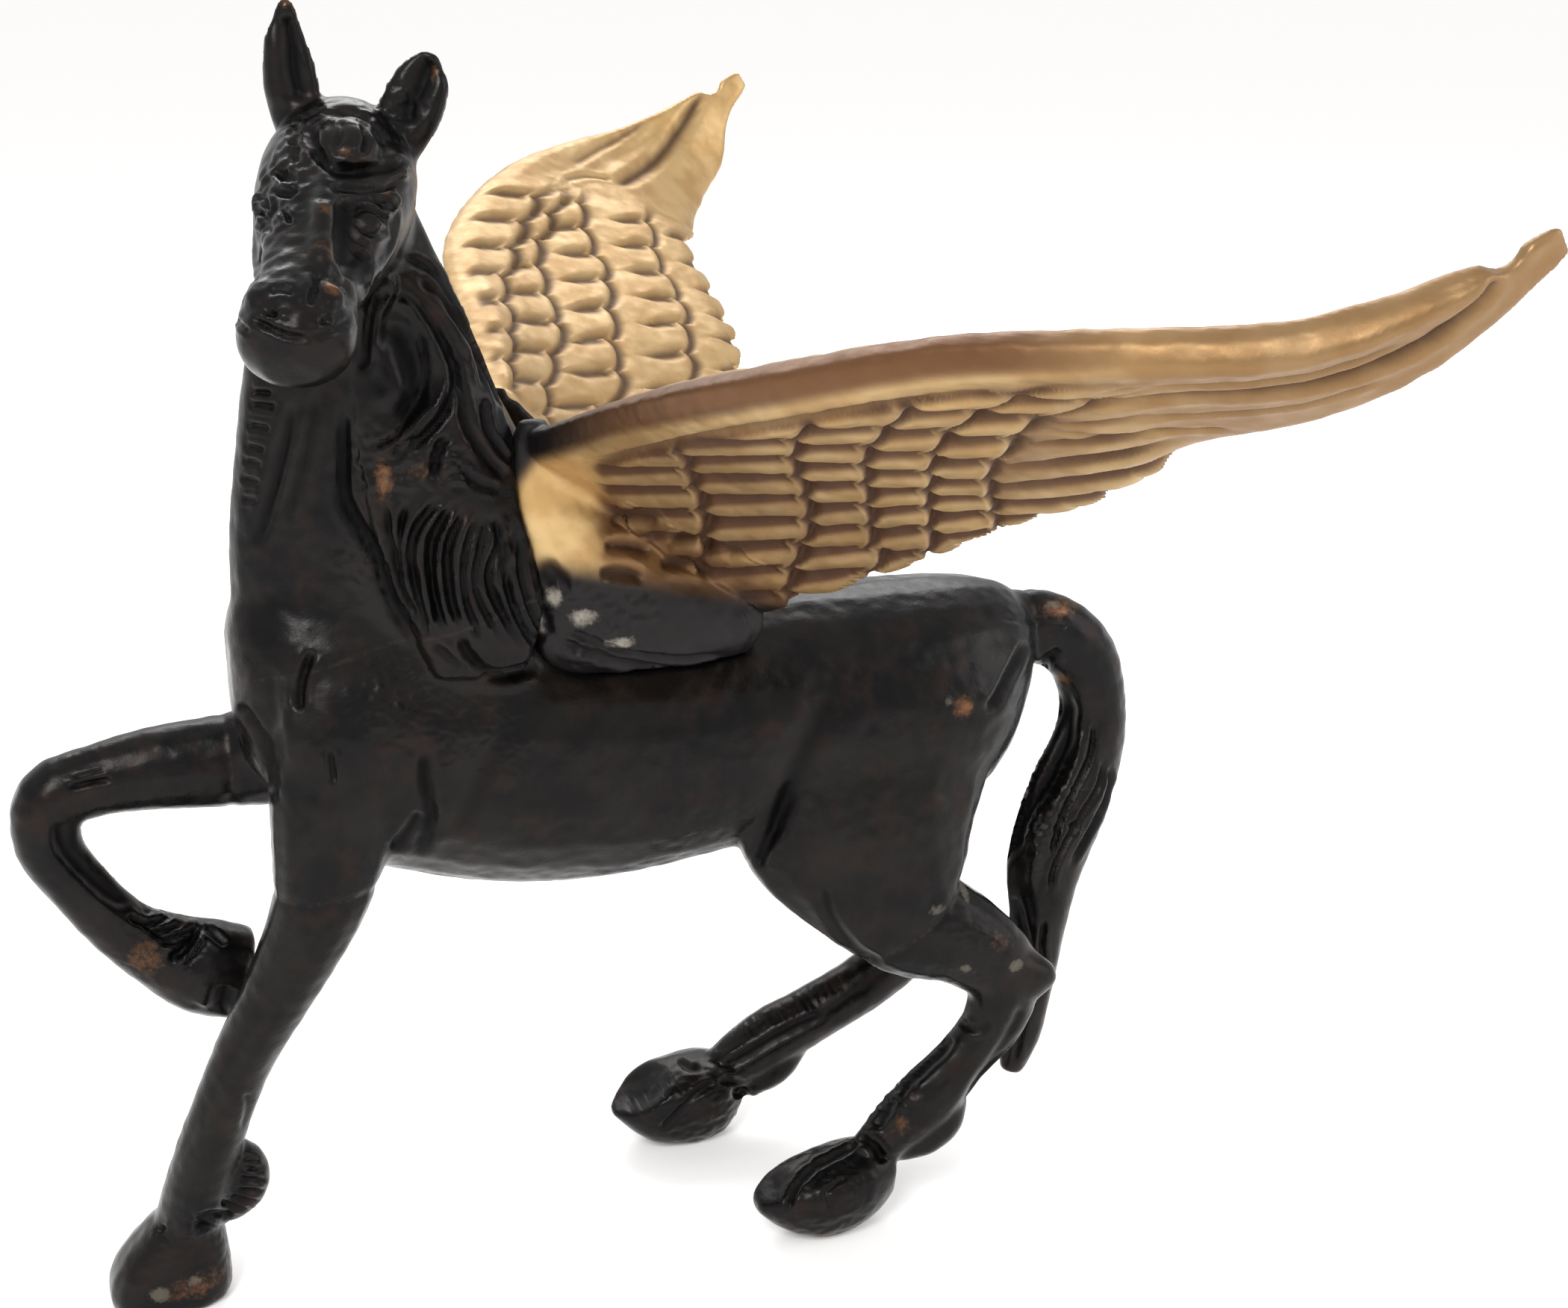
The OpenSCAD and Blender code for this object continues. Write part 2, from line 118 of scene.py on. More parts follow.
class Clay:
    """Signed distance in millimetres, negative inside, on a grid from low to high."""

    BAND = 6.0  # how far from the surface the distances are kept

    def __init__(self, low, high):
        self.first = np.floor(np.array(low) / GRID).astype(int)
        self.shape = tuple(np.ceil(np.array(high) / GRID).astype(int) - self.first)
        self.d = np.full(self.shape, self.BAND, np.float32)
        self.owner = np.zeros(self.shape, np.int8)

    def merge(self, index, name):
        """Adds a CAD node, and notes which voxels are nearest to it."""
        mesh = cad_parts[name].data
        mesh.calc_loop_triangles()
        points = np.empty(len(mesh.vertices) * 3, np.float32)
        mesh.vertices.foreach_get("co", points)
        points = points.reshape(-1, 3) / SCALE + MIDDLE
        triangles = np.empty(len(mesh.loop_triangles) * 3, np.int32)
        mesh.loop_triangles.foreach_get("vertices", triangles)
        grid = openvdb.FloatGrid.createLevelSetFromPolygons(
            points.astype(np.float32), triangles=triangles.reshape(-1, 3).astype(np.uint32),
            transform=openvdb.createLinearTransform(GRID), halfWidth=self.BAND / GRID)
        own = np.full(self.shape, self.BAND, np.float32)
        grid.copyToArray(own, ijk=tuple(int(i) for i in self.first))
        nearer = own < self.d
        self.d[nearer] = own[nearer]
        self.owner[nearer] = index

    def blurred(self, sigma):
        """The field, averaged over sigma millimetres."""
        s = sigma / GRID
        reach = int(np.ceil(2.5 * s))
        weights = np.exp(-0.5 * (np.arange(-reach, reach + 1) / s) ** 2)
        weights /= weights.sum()
        out = self.d
        for axis in range(3):
            source = np.moveaxis(out, axis, 0)
            total = source * np.float32(weights[reach])
            for k in range(1, reach + 1):
                w = np.float32(weights[reach + k])
                total[k:] += w * source[:-k]
                total[:-k] += w * source[k:]
                total[:k] += w * source[:1]
                total[-k:] += w * source[-1:]
            out = np.moveaxis(total, 0, axis)
        return np.ascontiguousarray(out)

    def window(self, centre, reach):
        """The part of the grid within reach of centre, and its coordinates."""
        low = np.maximum(np.floor((centre - reach) / GRID).astype(int) - self.first, 0)
        high = np.minimum(np.ceil((centre + reach) / GRID).astype(int) + 1 - self.first,
                          self.shape)
        part = tuple(slice(a, max(b, a)) for a, b in zip(low, high))
        axes = [(np.arange(s.start, s.stop) + f) * GRID for s, f in zip(part, self.first)]
        x, y, z = np.meshgrid(*axes, indexing="ij", sparse=True)
        return part, x, y, z

    def put(self, part, shape, soft, cut=False):
        """Joins a shape's distance to the field, or cuts it out, rounded over soft mm."""
        old = self.d[part]
        if cut:
            old = -old
        h = np.clip(0.5 + 0.5 * (shape - old) / soft, 0, 1)
        new = shape + (old - shape) * h - soft * h * (1 - h)
        self.d[part] = -new if cut else new

    def lump(self, centre, radii, forward=(1, 0, 0), up=(0, 0, 1), soft=2.0, cut=False):
        """An ellipsoid with its radii along forward, sideways and up."""
        centre = np.asarray(centre, float)
        radii = np.asarray(radii, float)
        f = unit(forward)
        u = unit(np.asarray(up, float) - np.dot(up, f) * f)
        part, x, y, z = self.window(centre, radii.max() + 2 * soft + 1)
        x, y, z = x - centre[0], y - centre[1], z - centre[2]
        a, b, c = (x * r[0] + y * r[1] + z * r[2] for r in (f, np.cross(u, f), u))
        k0 = np.sqrt((a / radii[0]) ** 2 + (b / radii[1]) ** 2 + (c / radii[2]) ** 2)
        k1 = np.sqrt((a / radii[0] ** 2) ** 2 + (b / radii[1] ** 2) ** 2
                     + (c / radii[2] ** 2) ** 2)
        self.put(part, k0 * (k0 - 1) / np.maximum(k1, 1e-6), soft, cut)

    def rope(self, stations, soft):
        """A smooth string of balls through [x, y, z, radius] stations."""
        s = curve(stations, 4)
        centre = (s[:, :3].max(0) + s[:, :3].min(0)) / 2
        reach = (s[:, :3].max(0) - s[:, :3].min(0)) / 2 + s[:, 3].max() + 2 * soft + 1
        part, x, y, z = self.window(centre, reach)
        best = None
        for (p, q) in zip(s, s[1:]):
            line = q[:3] - p[:3]
            px, py, pz = x - p[0], y - p[1], z - p[2]
            t = np.clip((px * line[0] + py * line[1] + pz * line[2]) / (line @ line), 0, 1)
            gap = np.sqrt((px - t * line[0]) ** 2 + (py - t * line[1]) ** 2
                          + (pz - t * line[2]) ** 2) - (p[3] + t * (q[3] - p[3]))
            best = gap if best is None else np.minimum(best, gap)
        self.put(part, best, soft)

    def fill(self, centre, radius, wide):
        """Fills the creases near centre, as the field averaged over wide mm does."""
        part, x, y, z = self.window(np.asarray(centre, float), radius)
        far = np.sqrt((x - centre[0]) ** 2 + (y - centre[1]) ** 2 + (z - centre[2]) ** 2)
        share = smooth(radius - far, 0, radius * 0.5).astype(np.float32)
        old = self.d[part]
        self.d[part] = old + share * (np.minimum(wide[part], old) - old)

    def mesh(self):
        """Points in millimetres and the quads of the surface."""
        grid = openvdb.FloatGrid(self.BAND)
        grid.transform = openvdb.createLinearTransform(GRID)
        grid.copyFromArray(np.clip(self.d, -2, 2).astype(np.float32),
                           ijk=tuple(int(i) for i in self.first))
        points, quads = grid.convertToQuads(0)
        return points.astype(float), quads.astype(np.int64)


# --- skin: strokes on the mesh -----------------------------------------------

class Skin:
    """A mesh that strokes carve along its normals, with a mask for each finish and one for the painted
    shade in its grooves.
    """

    DEEP = 5.0  # how far above or below the surface a path may run, in mm

    def __init__(self, points, quads):
        self.quads = quads
        self.points = points
        self.masks = {}
        self.refresh()

    def refresh(self):
        """Normals from the points."""
        p = self.points
        q = self.quads
        n = np.cross(p[q[:, 2]] - p[q[:, 0]], p[q[:, 3]] - p[q[:, 1]])
        total = np.zeros_like(p)
        for corner in range(4):
            for axis in range(3):
                total[:, axis] += np.bincount(q[:, corner], n[:, axis], len(p))
        self.normals = total / np.maximum(np.linalg.norm(total, axis=1), 1e-12)[:, None]

    def mask(self, name):
        return self.masks.setdefault(name, np.zeros(len(self.points)))

    def near(self, path, reach, facing):
        """Points that face the given way, within reach of a path seen from there.

        Gives their numbers, their distances from it and their place along it.
        """
        low, high = path.min(0) - self.DEEP, path.max(0) + self.DEEP
        ids = np.flatnonzero(np.all((self.points > low) & (self.points < high), axis=1))
        ids = ids[self.normals[ids] @ facing > 0.12]
        p = self.points[ids]
        best = np.full(len(ids), 1e9)
        along = np.zeros(len(ids))
        last = len(path) - 1
        for i in range(last):
            a, line = path[i], path[i + 1] - path[i]
            side = line - line @ facing * facing
            t = np.clip((p - a) @ side / max(side @ side, 1e-9), 0, 1)
            gap = p - a - t[:, None] * line
            rise = gap @ facing
            gap = np.linalg.norm(gap - rise[:, None] * facing, axis=1)
            better = (gap < best) & (np.abs(rise) < self.DEEP)
            best[better] = gap[better]
            along[better] = (i + t[better]) / last
        keep = best < reach
        return ids[keep], best[keep], along[keep]

    def stroke(self, points, width, depth, facing=None, lip=0.3, ends=0.15, dark=1.0):
        """Carves a groove along a path, or raises a ridge where depth is negative, and paints shade
        along a groove in the groove mask.

        The path is seen along facing, by default from the camera's side.
        """
        path = curve(points)
        facing = unit(EYE - path.mean(0) if facing is None else facing)
        ids, gap, along = self.near(path, 3.2 * width, facing)
        fade = smooth(along, 0, ends) * smooth(1 - along, 0, ends) if ends else 1.0
        profile = np.exp(-(gap / width) ** 2)
        shoulder = np.exp(-((gap - 1.7 * width) / width) ** 2)
        self.points[ids] -= self.normals[ids] * (depth * fade * (profile - lip * shoulder))[:, None]
        # painted shade along a groove, darker where the groove is deeper
        if depth > 0:
            groove = self.mask("groove")
            mark = np.clip(depth * 1.3, 0, 1) * fade * profile ** 2 * dark
            groove[ids] = np.maximum(groove[ids], mark)

    def patch(self, name, centre, radii, amount):
        """Marks an oval spot in a mask."""
        far = np.linalg.norm((self.points - centre) / np.asarray(radii, float), axis=1)
        mask = self.mask(name)
        np.maximum(mask, amount * (1 - smooth(far, 0.1, 1.1)), out=mask)

    def roughen(self, amount, size, seed, weights=1.0):
        """Soft unevenness, as on a hand-filed casting."""
        offset = Vector((seed * 17.3, seed * 5.1, seed * 9.7))
        weights = np.broadcast_to(weights, len(self.points))
        ids = np.flatnonzero(weights > 0.01)
        wave = np.array([noise.noise(Vector(p) / size + offset) for p in self.points[ids]])
        self.points[ids] += self.normals[ids] * (amount * wave * weights[ids])[:, None]

    def spot(self, centre, radius):
        """1 near centre, fading to 0 at radius."""
        return 1 - smooth(np.linalg.norm(self.points - centre, axis=1), 0.45 * radius, radius)


# --- pieces ------------------------------------------------------------------

def new_piece(name, points, loops, totals, normals, masks, material):
    """A mesh object in the frame from design points and flat lists of polygons."""
    mesh = bpy.data.meshes.new(name)
    mesh.vertices.add(len(points))
    mesh.vertices.foreach_set("co", ((points - MIDDLE) * SCALE).astype(np.float32).ravel())
    mesh.loops.add(len(loops))
    mesh.loops.foreach_set("vertex_index", loops.astype(np.int32))
    mesh.polygons.add(len(totals))
    mesh.polygons.foreach_set("loop_start",
                              np.concatenate([[0], np.cumsum(totals)[:-1]]).astype(np.int32))
    mesh.update(calc_edges=True)
    mesh.polygons.foreach_set("use_smooth", np.ones(len(totals), bool))
    for key, values in masks.items():
        attribute = mesh.attributes.new(key, "FLOAT", "POINT")
        attribute.data.foreach_set("value", values.astype(np.float32))
    mesh.normals_split_custom_set_from_vertices(normals.astype(np.float32))
    mesh.materials.append(material)
    piece = bpy.data.objects.new(name, mesh)
    bpy.context.scene.collection.objects.link(piece)
    return piece


def cut_at_joints(skin, joints):
    """Cuts the skin with both faces of each joint.

    Gives the points, normals, masks, corners and corner counts after the cuts.
    """
    bm = bmesh.new()
    mesh = bpy.data.meshes.new("cut")
    mesh.from_pydata(skin.points.tolist(), [], skin.quads.tolist())
    keys = list(skin.masks)
    values = np.column_stack([skin.normals] + [skin.masks[k] for k in keys])
    for column in range(values.shape[1]):
        attribute = mesh.attributes.new(f"v{column}", "FLOAT", "POINT")
        attribute.data.foreach_set("value", values[:, column].astype(np.float32))
    bm.from_mesh(mesh)
    for centre, out, half in joints:
        centre, out = Vector(centre), Vector(out)
        for level in (0, BRAZE):
            origin = centre + out * level
            faces = [f for f in bm.faces
                     if abs((f.verts[0].co - origin).dot(out)) < 3
                     and (f.verts[0].co - origin).length < half]
            geom = set(faces)
            for f in faces:
                geom.update(f.edges)
                geom.update(f.verts)
            bmesh.ops.bisect_plane(bm, geom=list(geom), plane_co=origin, plane_no=out, dist=1e-4)
    bm.to_mesh(mesh)
    bm.free()
    count = len(mesh.vertices)
    points = np.empty(count * 3, np.float32)
    mesh.vertices.foreach_get("co", points)
    columns = np.empty((values.shape[1], count), np.float32)
    for column in range(values.shape[1]):
        mesh.attributes[f"v{column}"].data.foreach_get("value", columns[column])
    loops = np.empty(len(mesh.loops), np.int32)
    mesh.loops.foreach_get("vertex_index", loops)
    totals = np.empty(len(mesh.polygons), np.int32)
    mesh.polygons.foreach_get("loop_total", totals)
    bpy.data.meshes.remove(mesh)
    return (points.reshape(-1, 3).astype(float), columns[:3].T.astype(float),
            dict(zip(keys, columns[3:])), loops, totals)


def piece_centres(parts):
    """The middle of every polygon after the cuts."""
    points, _, _, loops, totals = parts
    owner = np.repeat(np.arange(len(totals)), totals)
    sums = np.stack([np.bincount(owner, points[loops, axis]) for axis in range(3)], 1)
    return sums / totals[:, None]


def pieces_of(parts, labels, names, materials):
    """One piece for each label, riding on the body and standing for its CAD node."""
    points, normals, masks, loops, totals = parts
    starts = np.concatenate([[0], np.cumsum(totals)[:-1]])
    for index, name in enumerate(names):
        chosen = np.flatnonzero(labels == index)
        if not len(chosen):
            continue
        corner = np.repeat(starts[chosen], totals[chosen])
        inner = np.arange(len(corner)) - np.repeat(np.cumsum(totals[chosen]) - totals[chosen],
                                                   totals[chosen])
        used, local = np.unique(loops[corner + inner], return_inverse=True)
        piece = new_piece(name + "_surface", points[used], local, totals[chosen], normals[used],
                          {k: v[used] for k, v in masks.items()}, materials[index])
        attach(piece, "root")
        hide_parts(name)


# --- materials ---------------------------------------------------------------

class Nodes:
    """Short names for building a material's node tree."""

    def __init__(self, name):
        self.material = bpy.data.materials.new(name)
        self.material.use_nodes = True
        self.tree = self.material.node_tree
        self.shader = self.tree.nodes["Principled BSDF"]
        self.place = self.add("ShaderNodeTexCoord").outputs["Object"]

    def add(self, kind, **settings):
        node = self.tree.nodes.new(kind)
        for key, value in settings.items():
            setattr(node, key, value)
        return node

    def feed(self, node, **inputs):
        for key, value in inputs.items():
            socket = node.inputs[int(key[1:])] if key[0] == "_" else node.inputs[key]
            if isinstance(value, bpy.types.NodeSocket):
                self.tree.links.new(value, socket)
            else:
                socket.default_value = value
        return node

    def noise(self, size_mm, detail=4.0, rough=0.55):
        node = self.add("ShaderNodeTexNoise")
        return self.feed(node, Vector=self.place, Scale=0.001 / SCALE / (size_mm * 0.001),
                         Detail=detail, Roughness=rough).outputs["Fac"]

    def mask(self, name):
        return self.add("ShaderNodeAttribute", attribute_name=name).outputs["Fac"]

    def broken(self, name, size_mm, most=0.85):
        """A mask with its edges broken up by noise of the given size."""
        share = self.math("MULTIPLY", self.mask(name), 0.42)
        specks = self.math("MULTIPLY", self.noise(size_mm, 8, 0.75), 0.8)
        return self.ramp(self.math("ADD", share, specks), 0.56, 0.9, 0, most)

    def ramp(self, value, low, high, a=0.0, b=1.0):
        node = self.add("ShaderNodeMapRange", interpolation_type="SMOOTHSTEP")
        return self.feed(node, _0=value, _1=low, _2=high, _3=a, _4=b).outputs[0]

    def math(self, operation, a, b):
        return self.feed(self.add("ShaderNodeMath", operation=operation, use_clamp=True),
                         _0=a, _1=b).outputs[0]

    def mix(self, amount, a, b):
        node = self.add("ShaderNodeMix", data_type="RGBA")
        return self.feed(node, _0=amount, _6=a, _7=b).outputs[2]

    def bump(self, heights):
        """Chains bumps, given as (height, distance in mm)."""
        normal = None
        for height, distance in heights:
            node = self.add("ShaderNodeBump")
            self.feed(node, Height=height, Distance=distance * SCALE)
            if normal is not None:
                self.feed(node, Normal=normal)
            normal = node.outputs["Normal"]
        self.feed(self.shader, Normal=normal)


def colour(r, g, b):
    """An sRGB colour of 0 to 255 as linear RGBA."""
    c = np.array([r, g, b]) / 255
    return (*np.where(c <= 0.04045, c / 12.92, ((c + 0.055) / 1.055) ** 2.4), 1.0)


def bronze_material(name, brazed=False):
    """Near-black patina, burnished grey-brown on the high points, with painted shade, near black, in
    the grooves and dark spots.
    """
    n = Nodes(name)
    patina = n.mix(n.ramp(n.noise(12), 0.35, 0.65), colour(34, 32, 31), colour(25, 24, 24))
    warm = n.mix(n.ramp(n.noise(5, 6), 0.5, 0.75, 0, 0.5), patina, colour(48, 35, 30))
    worn = n.mix(n.broken("wear", 1.6), warm, colour(118, 82, 56))
    filled = n.broken("filler", 1.3)
    pale = n.mix(filled, worn, colour(132, 126, 114))
    # painted shade: the grooves and dark spots turn near black, as shade falls in them
    with_groove_shade = n.mix(n.math("MULTIPLY", n.mask("groove"), 0.9), pale, colour(7, 7, 8))
    if brazed:
        with_groove_shade = n.mix(n.ramp(n.noise(1.0, 6), 0.4, 0.65, 0, 0.3), with_groove_shade, colour(62, 52, 45))
    gloss = n.ramp(n.noise(5, 8, 0.65), 0.3, 0.75, 0.22, 0.38)
    dull = n.math("ADD", gloss, n.math("MULTIPLY", n.mask("groove"), 0.3))
    n.feed(n.shader, **{"Base Color": with_groove_shade, "Roughness": n.math("ADD", dull, filled),
                        "Metallic": 0.85})
    grain = n.noise(0.35, 6, 0.7)
    n.bump([(grain, 0.02), (n.noise(1.3, 5, 0.6), 0.05)])
    return n.material


def brass_material(name):
    """Antique brass, brown along the rim, brown in the recesses as patina with painted shade, and
    painted shade over the under face and the near tip.
    """
    n = Nodes(name)
    gold = n.mix(n.ramp(n.noise(7), 0.35, 0.65), colour(206, 174, 122), colour(188, 152, 98))
    # brown for patina and for painted shade on the under face and the near tip
    brown = n.mix(n.mask("tan"), gold, colour(104, 70, 42))
    # dark brown in the grooves: patina with painted shade
    dark = n.mix(n.math("MULTIPLY", n.mask("groove"), 0.9), brown, colour(66, 43, 31))
    black = n.mix(n.mask("black"), dark, colour(26, 23, 23))
    white = n.mix(n.broken("filler", 1.6), black, colour(150, 144, 132))
    rough = n.math("ADD", n.ramp(n.noise(3, 8, 0.6), 0.3, 0.7, 0.38, 0.52),
                   n.math("MULTIPLY", n.mask("groove"), 0.25))
    n.feed(n.shader, **{"Base Color": white, "Roughness": rough, "Metallic": 0.6})
    n.bump([(n.noise(0.3, 6, 0.7), 0.015), (n.noise(1.8, 4), 0.04)])
    return n.material


def steel_material(name):
    """Filed mild steel, for the pins."""
    n = Nodes(name)
    tint = n.mix(n.ramp(n.noise(0.6, 6), 0.4, 0.6), colour(150, 148, 145), colour(112, 108, 104))
    n.feed(n.shader, **{"Base Color": tint, "Metallic": 1.0,
                        "Roughness": n.ramp(n.noise(0.5), 0.3, 0.7, 0.3, 0.5)})
    n.bump([(n.noise(0.25, 6), 0.01)])
    return n.material


BRONZE = bronze_material("dark bronze patina")
BRAZED = bronze_material("filed braze", brazed=True)
BRASS = brass_material("antique brass")
STEEL = steel_material("pin steel")

# --- the head's own axes -----------------------------------------------------

SKULL = vec(-32.7, -6, 181)
MUZZLE = unit((-12.6, -31, -21))
SIDE = unit((-MUZZLE[1], MUZZLE[0], 0))  # to the horse's left
CROWN = np.cross(MUZZLE, SIDE)  # out of the face


def head(along, side, rise):
    """A point by its distance along the face, to the left and out of the face."""
    return SKULL + along * MUZZLE + side * SIDE + rise * CROWN


# --- the horse ---------------------------------------------------------------

# Creases between two forms that the casting rounds off: [centre, radius]
CREASES = [
    ((-22, 0, 108), 45), ((-43, -8, 84), 16), ((-46, 12, 86), 16), ((46, -12, 78), 26),
    ((48, 12, 76), 26), ((72, 0, 96), 14), ((-33, -10, 170), 16), ((-62, 1, 18), 10),
    ((50, -16, 16), 12), ((38, 20, 13), 12), ((-30, 0, 100), 30), ((-30, -8, 140), 26),
    ((-24, -6, 158), 22), ((-16, -8, 118), 26),
]

# Forms raised on the head: [along, side, rise] of the centre, radii and softness
HEAD_LUMPS = [
    ((1.0, 1.0, 3.6), (4.0, 4.6, 2.9), 1.2),  # poll
    ((8.5, 2.7, 5.6), (5.2, 4.7, 3.1), 0.5),  # forelock
    ((8.0, 8.4, 2.2), (3.0, 2.2, 2.0), 1.0),  # root of the left ear
    ((14.6, 8.1, 1.7), (1.9, 2.5, 1.5), 0.7),  # left brow
    ((14.8, -6.9, 1.6), (2.2, 2.4, 1.8), 1.0),  # right brow
    ((19.1, 6.6, 1.0), (1.9, 1.5, 1.6), 0.4),  # left eyeball
    ((19.1, -6.8, 0.8), (1.9, 1.5, 1.6), 0.4),  # right eyeball
    ((36.4, 4.6, 3.3), (3.1, 2.1, 2.4), 0.5),  # left nostril
    ((36.8, -3.6, 4.0), (3.2, 2.1, 2.2), 0.8),  # right nostril
]

# Ridges on the head: [along, side, rise, radius] stations
HEAD_ROPES = [
    [(15, 1.4, 6.2, 1.2), (20, 2.0, 6.0, 1.5), (26, 2.6, 5.2, 1.7), (32, 3.2, 4.2, 2.0)],
    [(14.2, 9.2, -0.9, 0.8), (17, 8.7, -2.9, 1.0), (21, 7.7, -3.1, 1.0), (26, 6.1, -1.6, 0.8)],
    [(14.2, -8.6, -0.6, 0.8), (17, -8.6, -2.6, 1.0), (21, -8.2, -2.8, 1.0), (26, -6.8, -1.4, 0.8)],
]

# Cuts that slope the toes of the hind hooves: centre, radii and forward
HOOF_CUTS = [((26.3, -18, 13.8), (8, 10, 3.4), (0.78, 0, 0.62)),
             ((13.9, 18, 14.0), (9, 11, 3.4), (0.8, 0, 0.6))]

# Points of the hocks and knees: centre, radii, forward and softness
MUSCLES = [
    ((70.5, -20.6, 43), (3.4, 2.8, 4.4), (0.2, 0, 1), 2),
    ((-79.5, 11.5, 85.6), (2.6, 4.2, 4.0), (1, 0, -0.6), 2),
    ((-36, -12.4, 97), (7, 4.6, 12), (0.2, 0, 1), 4),
]


def model_horse():
    """The merged field of the dark castings, modelled."""
    clay = Clay((-90, -48, -3), (100, 34, 204))
    for index, name in enumerate(CASTINGS + BODY_BRAZES):
        clay.merge(index, name)
    wide = clay.blurred(3.3)
    for centre, radius in CREASES:
        clay.fill(centre, radius, wide)
    clay.d = clay.blurred(0.5)
    for centre, radii, forward in HOOF_CUTS:
        clay.lump(centre, radii, forward=forward, soft=1.0, cut=True)
    for centre, radii, forward, soft in MUSCLES:
        clay.lump(centre, radii, forward=forward, soft=soft)
    for centre, radii, soft in HEAD_LUMPS:
        clay.lump(head(*centre), radii, forward=MUZZLE, up=CROWN, soft=soft)
    for rope in HEAD_ROPES:
        clay.rope([(*head(a, s, r), size) for a, s, r, size in rope], soft=0.8)
    clay.d = clay.blurred(0.35)
    return clay


# Strokes on the head: [along, side, rise] points, width, depth
HEAD_STROKES = [
    # the hollows of the ears
    ([(-8, -6, 15), (-5.5, -5.5, 12), (-3.5, -5.5, 8.5), (-1, -4.5, 5.5)], 1.5, 1.3),
    ([(-6.5, 13, 9), (-4, 12, 8), (-2, 10.5, 5.5), (0.5, 8.5, 3)], 1.7, 1.4),
    # the forelock's outline and the notches down its face
    ([(5, -1.5, 7.5), (9.5, -1, 7), (13.5, 1.5, 6.5), (14, 5, 6), (11.5, 7, 5)], 0.7, 0.8),
    ([(3.5, 4.5, 6), (7, 5.5, 6), (10.5, 5.5, 6)], 0.45, 0.75),
    ([(4.5, 2, 7), (7.5, 2.5, 7), (10.5, 2, 7)], 0.4, 0.35),
    ([(3.5, 0, 7), (2.5, 3, 6.5), (3.5, 5.5, 5), (6, 7.5, 4)], 0.5, 0.45),
    # the wrinkled band over the brow
    ([(14.5, 1.5, 7), (12.5, 6, 5), (8.5, 9, 2.5), (4.5, 10, 0.5)], 0.7, 0.75),
    ([(17.5, 1.5, 6.5), (16, 6.5, 4.5), (11.5, 9, 2), (7.5, 10, 0)], 0.5, 0.55),
    ([(16, 1, 7), (14.5, 6, 5), (10.5, 9, 2.5)], 0.4, 0.3),
    # the hollow between nose and cheek, and under the eye
    ([(18.5, 5, 5), (23.5, 5.5, 4.5), (30, 6, 3.5)], 1.9, 1.6),
    ([(23.5, 7, 0.5), (26.5, 6.5, 1.5), (30.5, 6, 2)], 1.4, 0.8),
    # the eye: lids and the folds around them
    ([(21, 5.5, 4), (18.5, 6, 3.5), (17, 7.5, 2), (17.5, 9, 0)], 0.4, 0.6),
    ([(21, 5.5, 4), (21.5, 6.5, 2.5), (20.5, 8, 1), (18, 9, 0)], 0.4, 0.6),
    ([(20, 4.5, 5), (17, 5.5, 4), (15.5, 7.5, 2.5), (16, 9, 0.5)], 0.4, 0.5),
    ([(22.5, 5, 4), (23.5, 6, 2.5), (22.5, 7.5, 0.5)], 0.4, 0.5),
    ([(24.5, 5, 4), (25.5, 6, 2.5), (24.5, 7, 0.5)], 0.4, 0.4),
    # the nose bridge's edge, the nostrils and the mouth
    ([(33, 3, 5.5), (37, 3, 5.5), (39.5, 3, 5.5)], 0.5, 0.6),
    ([(33.5, 4.5, 5), (34, 6.5, 3.5), (36.5, 7, 2.5)], 0.5, 0.5),
    ([(40.5, 4.5, 4.5), (41, 5, 4)], 0.6, 0.6), ([(40.5, -1.5, 6), (41.5, -1.5, 5.5)], 0.75, 0.9),
    ([(37.5, -2.5, 6), (37.5, -0.5, 6.5), (38, 1, 6.5)], 0.5, 0.4),
    ([(41, -4, 5), (42, -2, 4.5), (43, 0.5, 4), (43, 3.5, 3.5)], 0.42, 0.7),
    ([(43, 3.5, 3.5), (40.5, 6, 3), (37.5, 7, 1.5)], 0.4, 0.35),
    # the broken surface of the right temple
    ([(21.5, -3.5, 6), (23, -2.5, 6), (24.5, -2, 6)], 0.4, 0.7),
    ([(12, -6, 5), (14.5, -4.5, 6), (16, -2, 6.5)], 0.6, 0.7),
    ([(16.5, -5.5, 4.5), (18.5, -4, 6), (18, -1.5, 6.5)], 0.5, 0.6),
    ([(8, -4.5, 6.5), (10.5, -3, 7), (12.5, -3.5, 6.5)], 0.5, 0.5),
    ([(19.5, -4.5, 5), (21.5, -5.5, 4.5), (24, -5, 4)], 0.5, 0.5),
]

# The right side of the head, seen from the right
HEAD_FAR_STROKES = [
    ([(21, -6.5, 3.5), (18.5, -7.5, 3), (17, -8.5, 2), (17.5, -9, 0)], 0.4, 0.6),
    ([(21, -6.5, 3.5), (21.5, -7.5, 2), (20.5, -8.5, 1), (18, -9, 0)], 0.4, 0.6),
    ([(20, -6, 4), (17, -7, 4), (15.5, -8, 2.5), (16, -9, 0.5)], 0.4, 0.5),
    ([(33.5, -4, 5), (34, -6.5, 3.5), (36.5, -7, 2.5)], 0.5, 0.5),
    ([(42, -4, 3.5), (40, -6, 3), (37, -7, 1.5)], 0.4, 0.5),
    ([(23.5, -7, 0.5), (26.5, -6.5, 1.5), (30.5, -6, 2)], 1.4, 0.8),
]

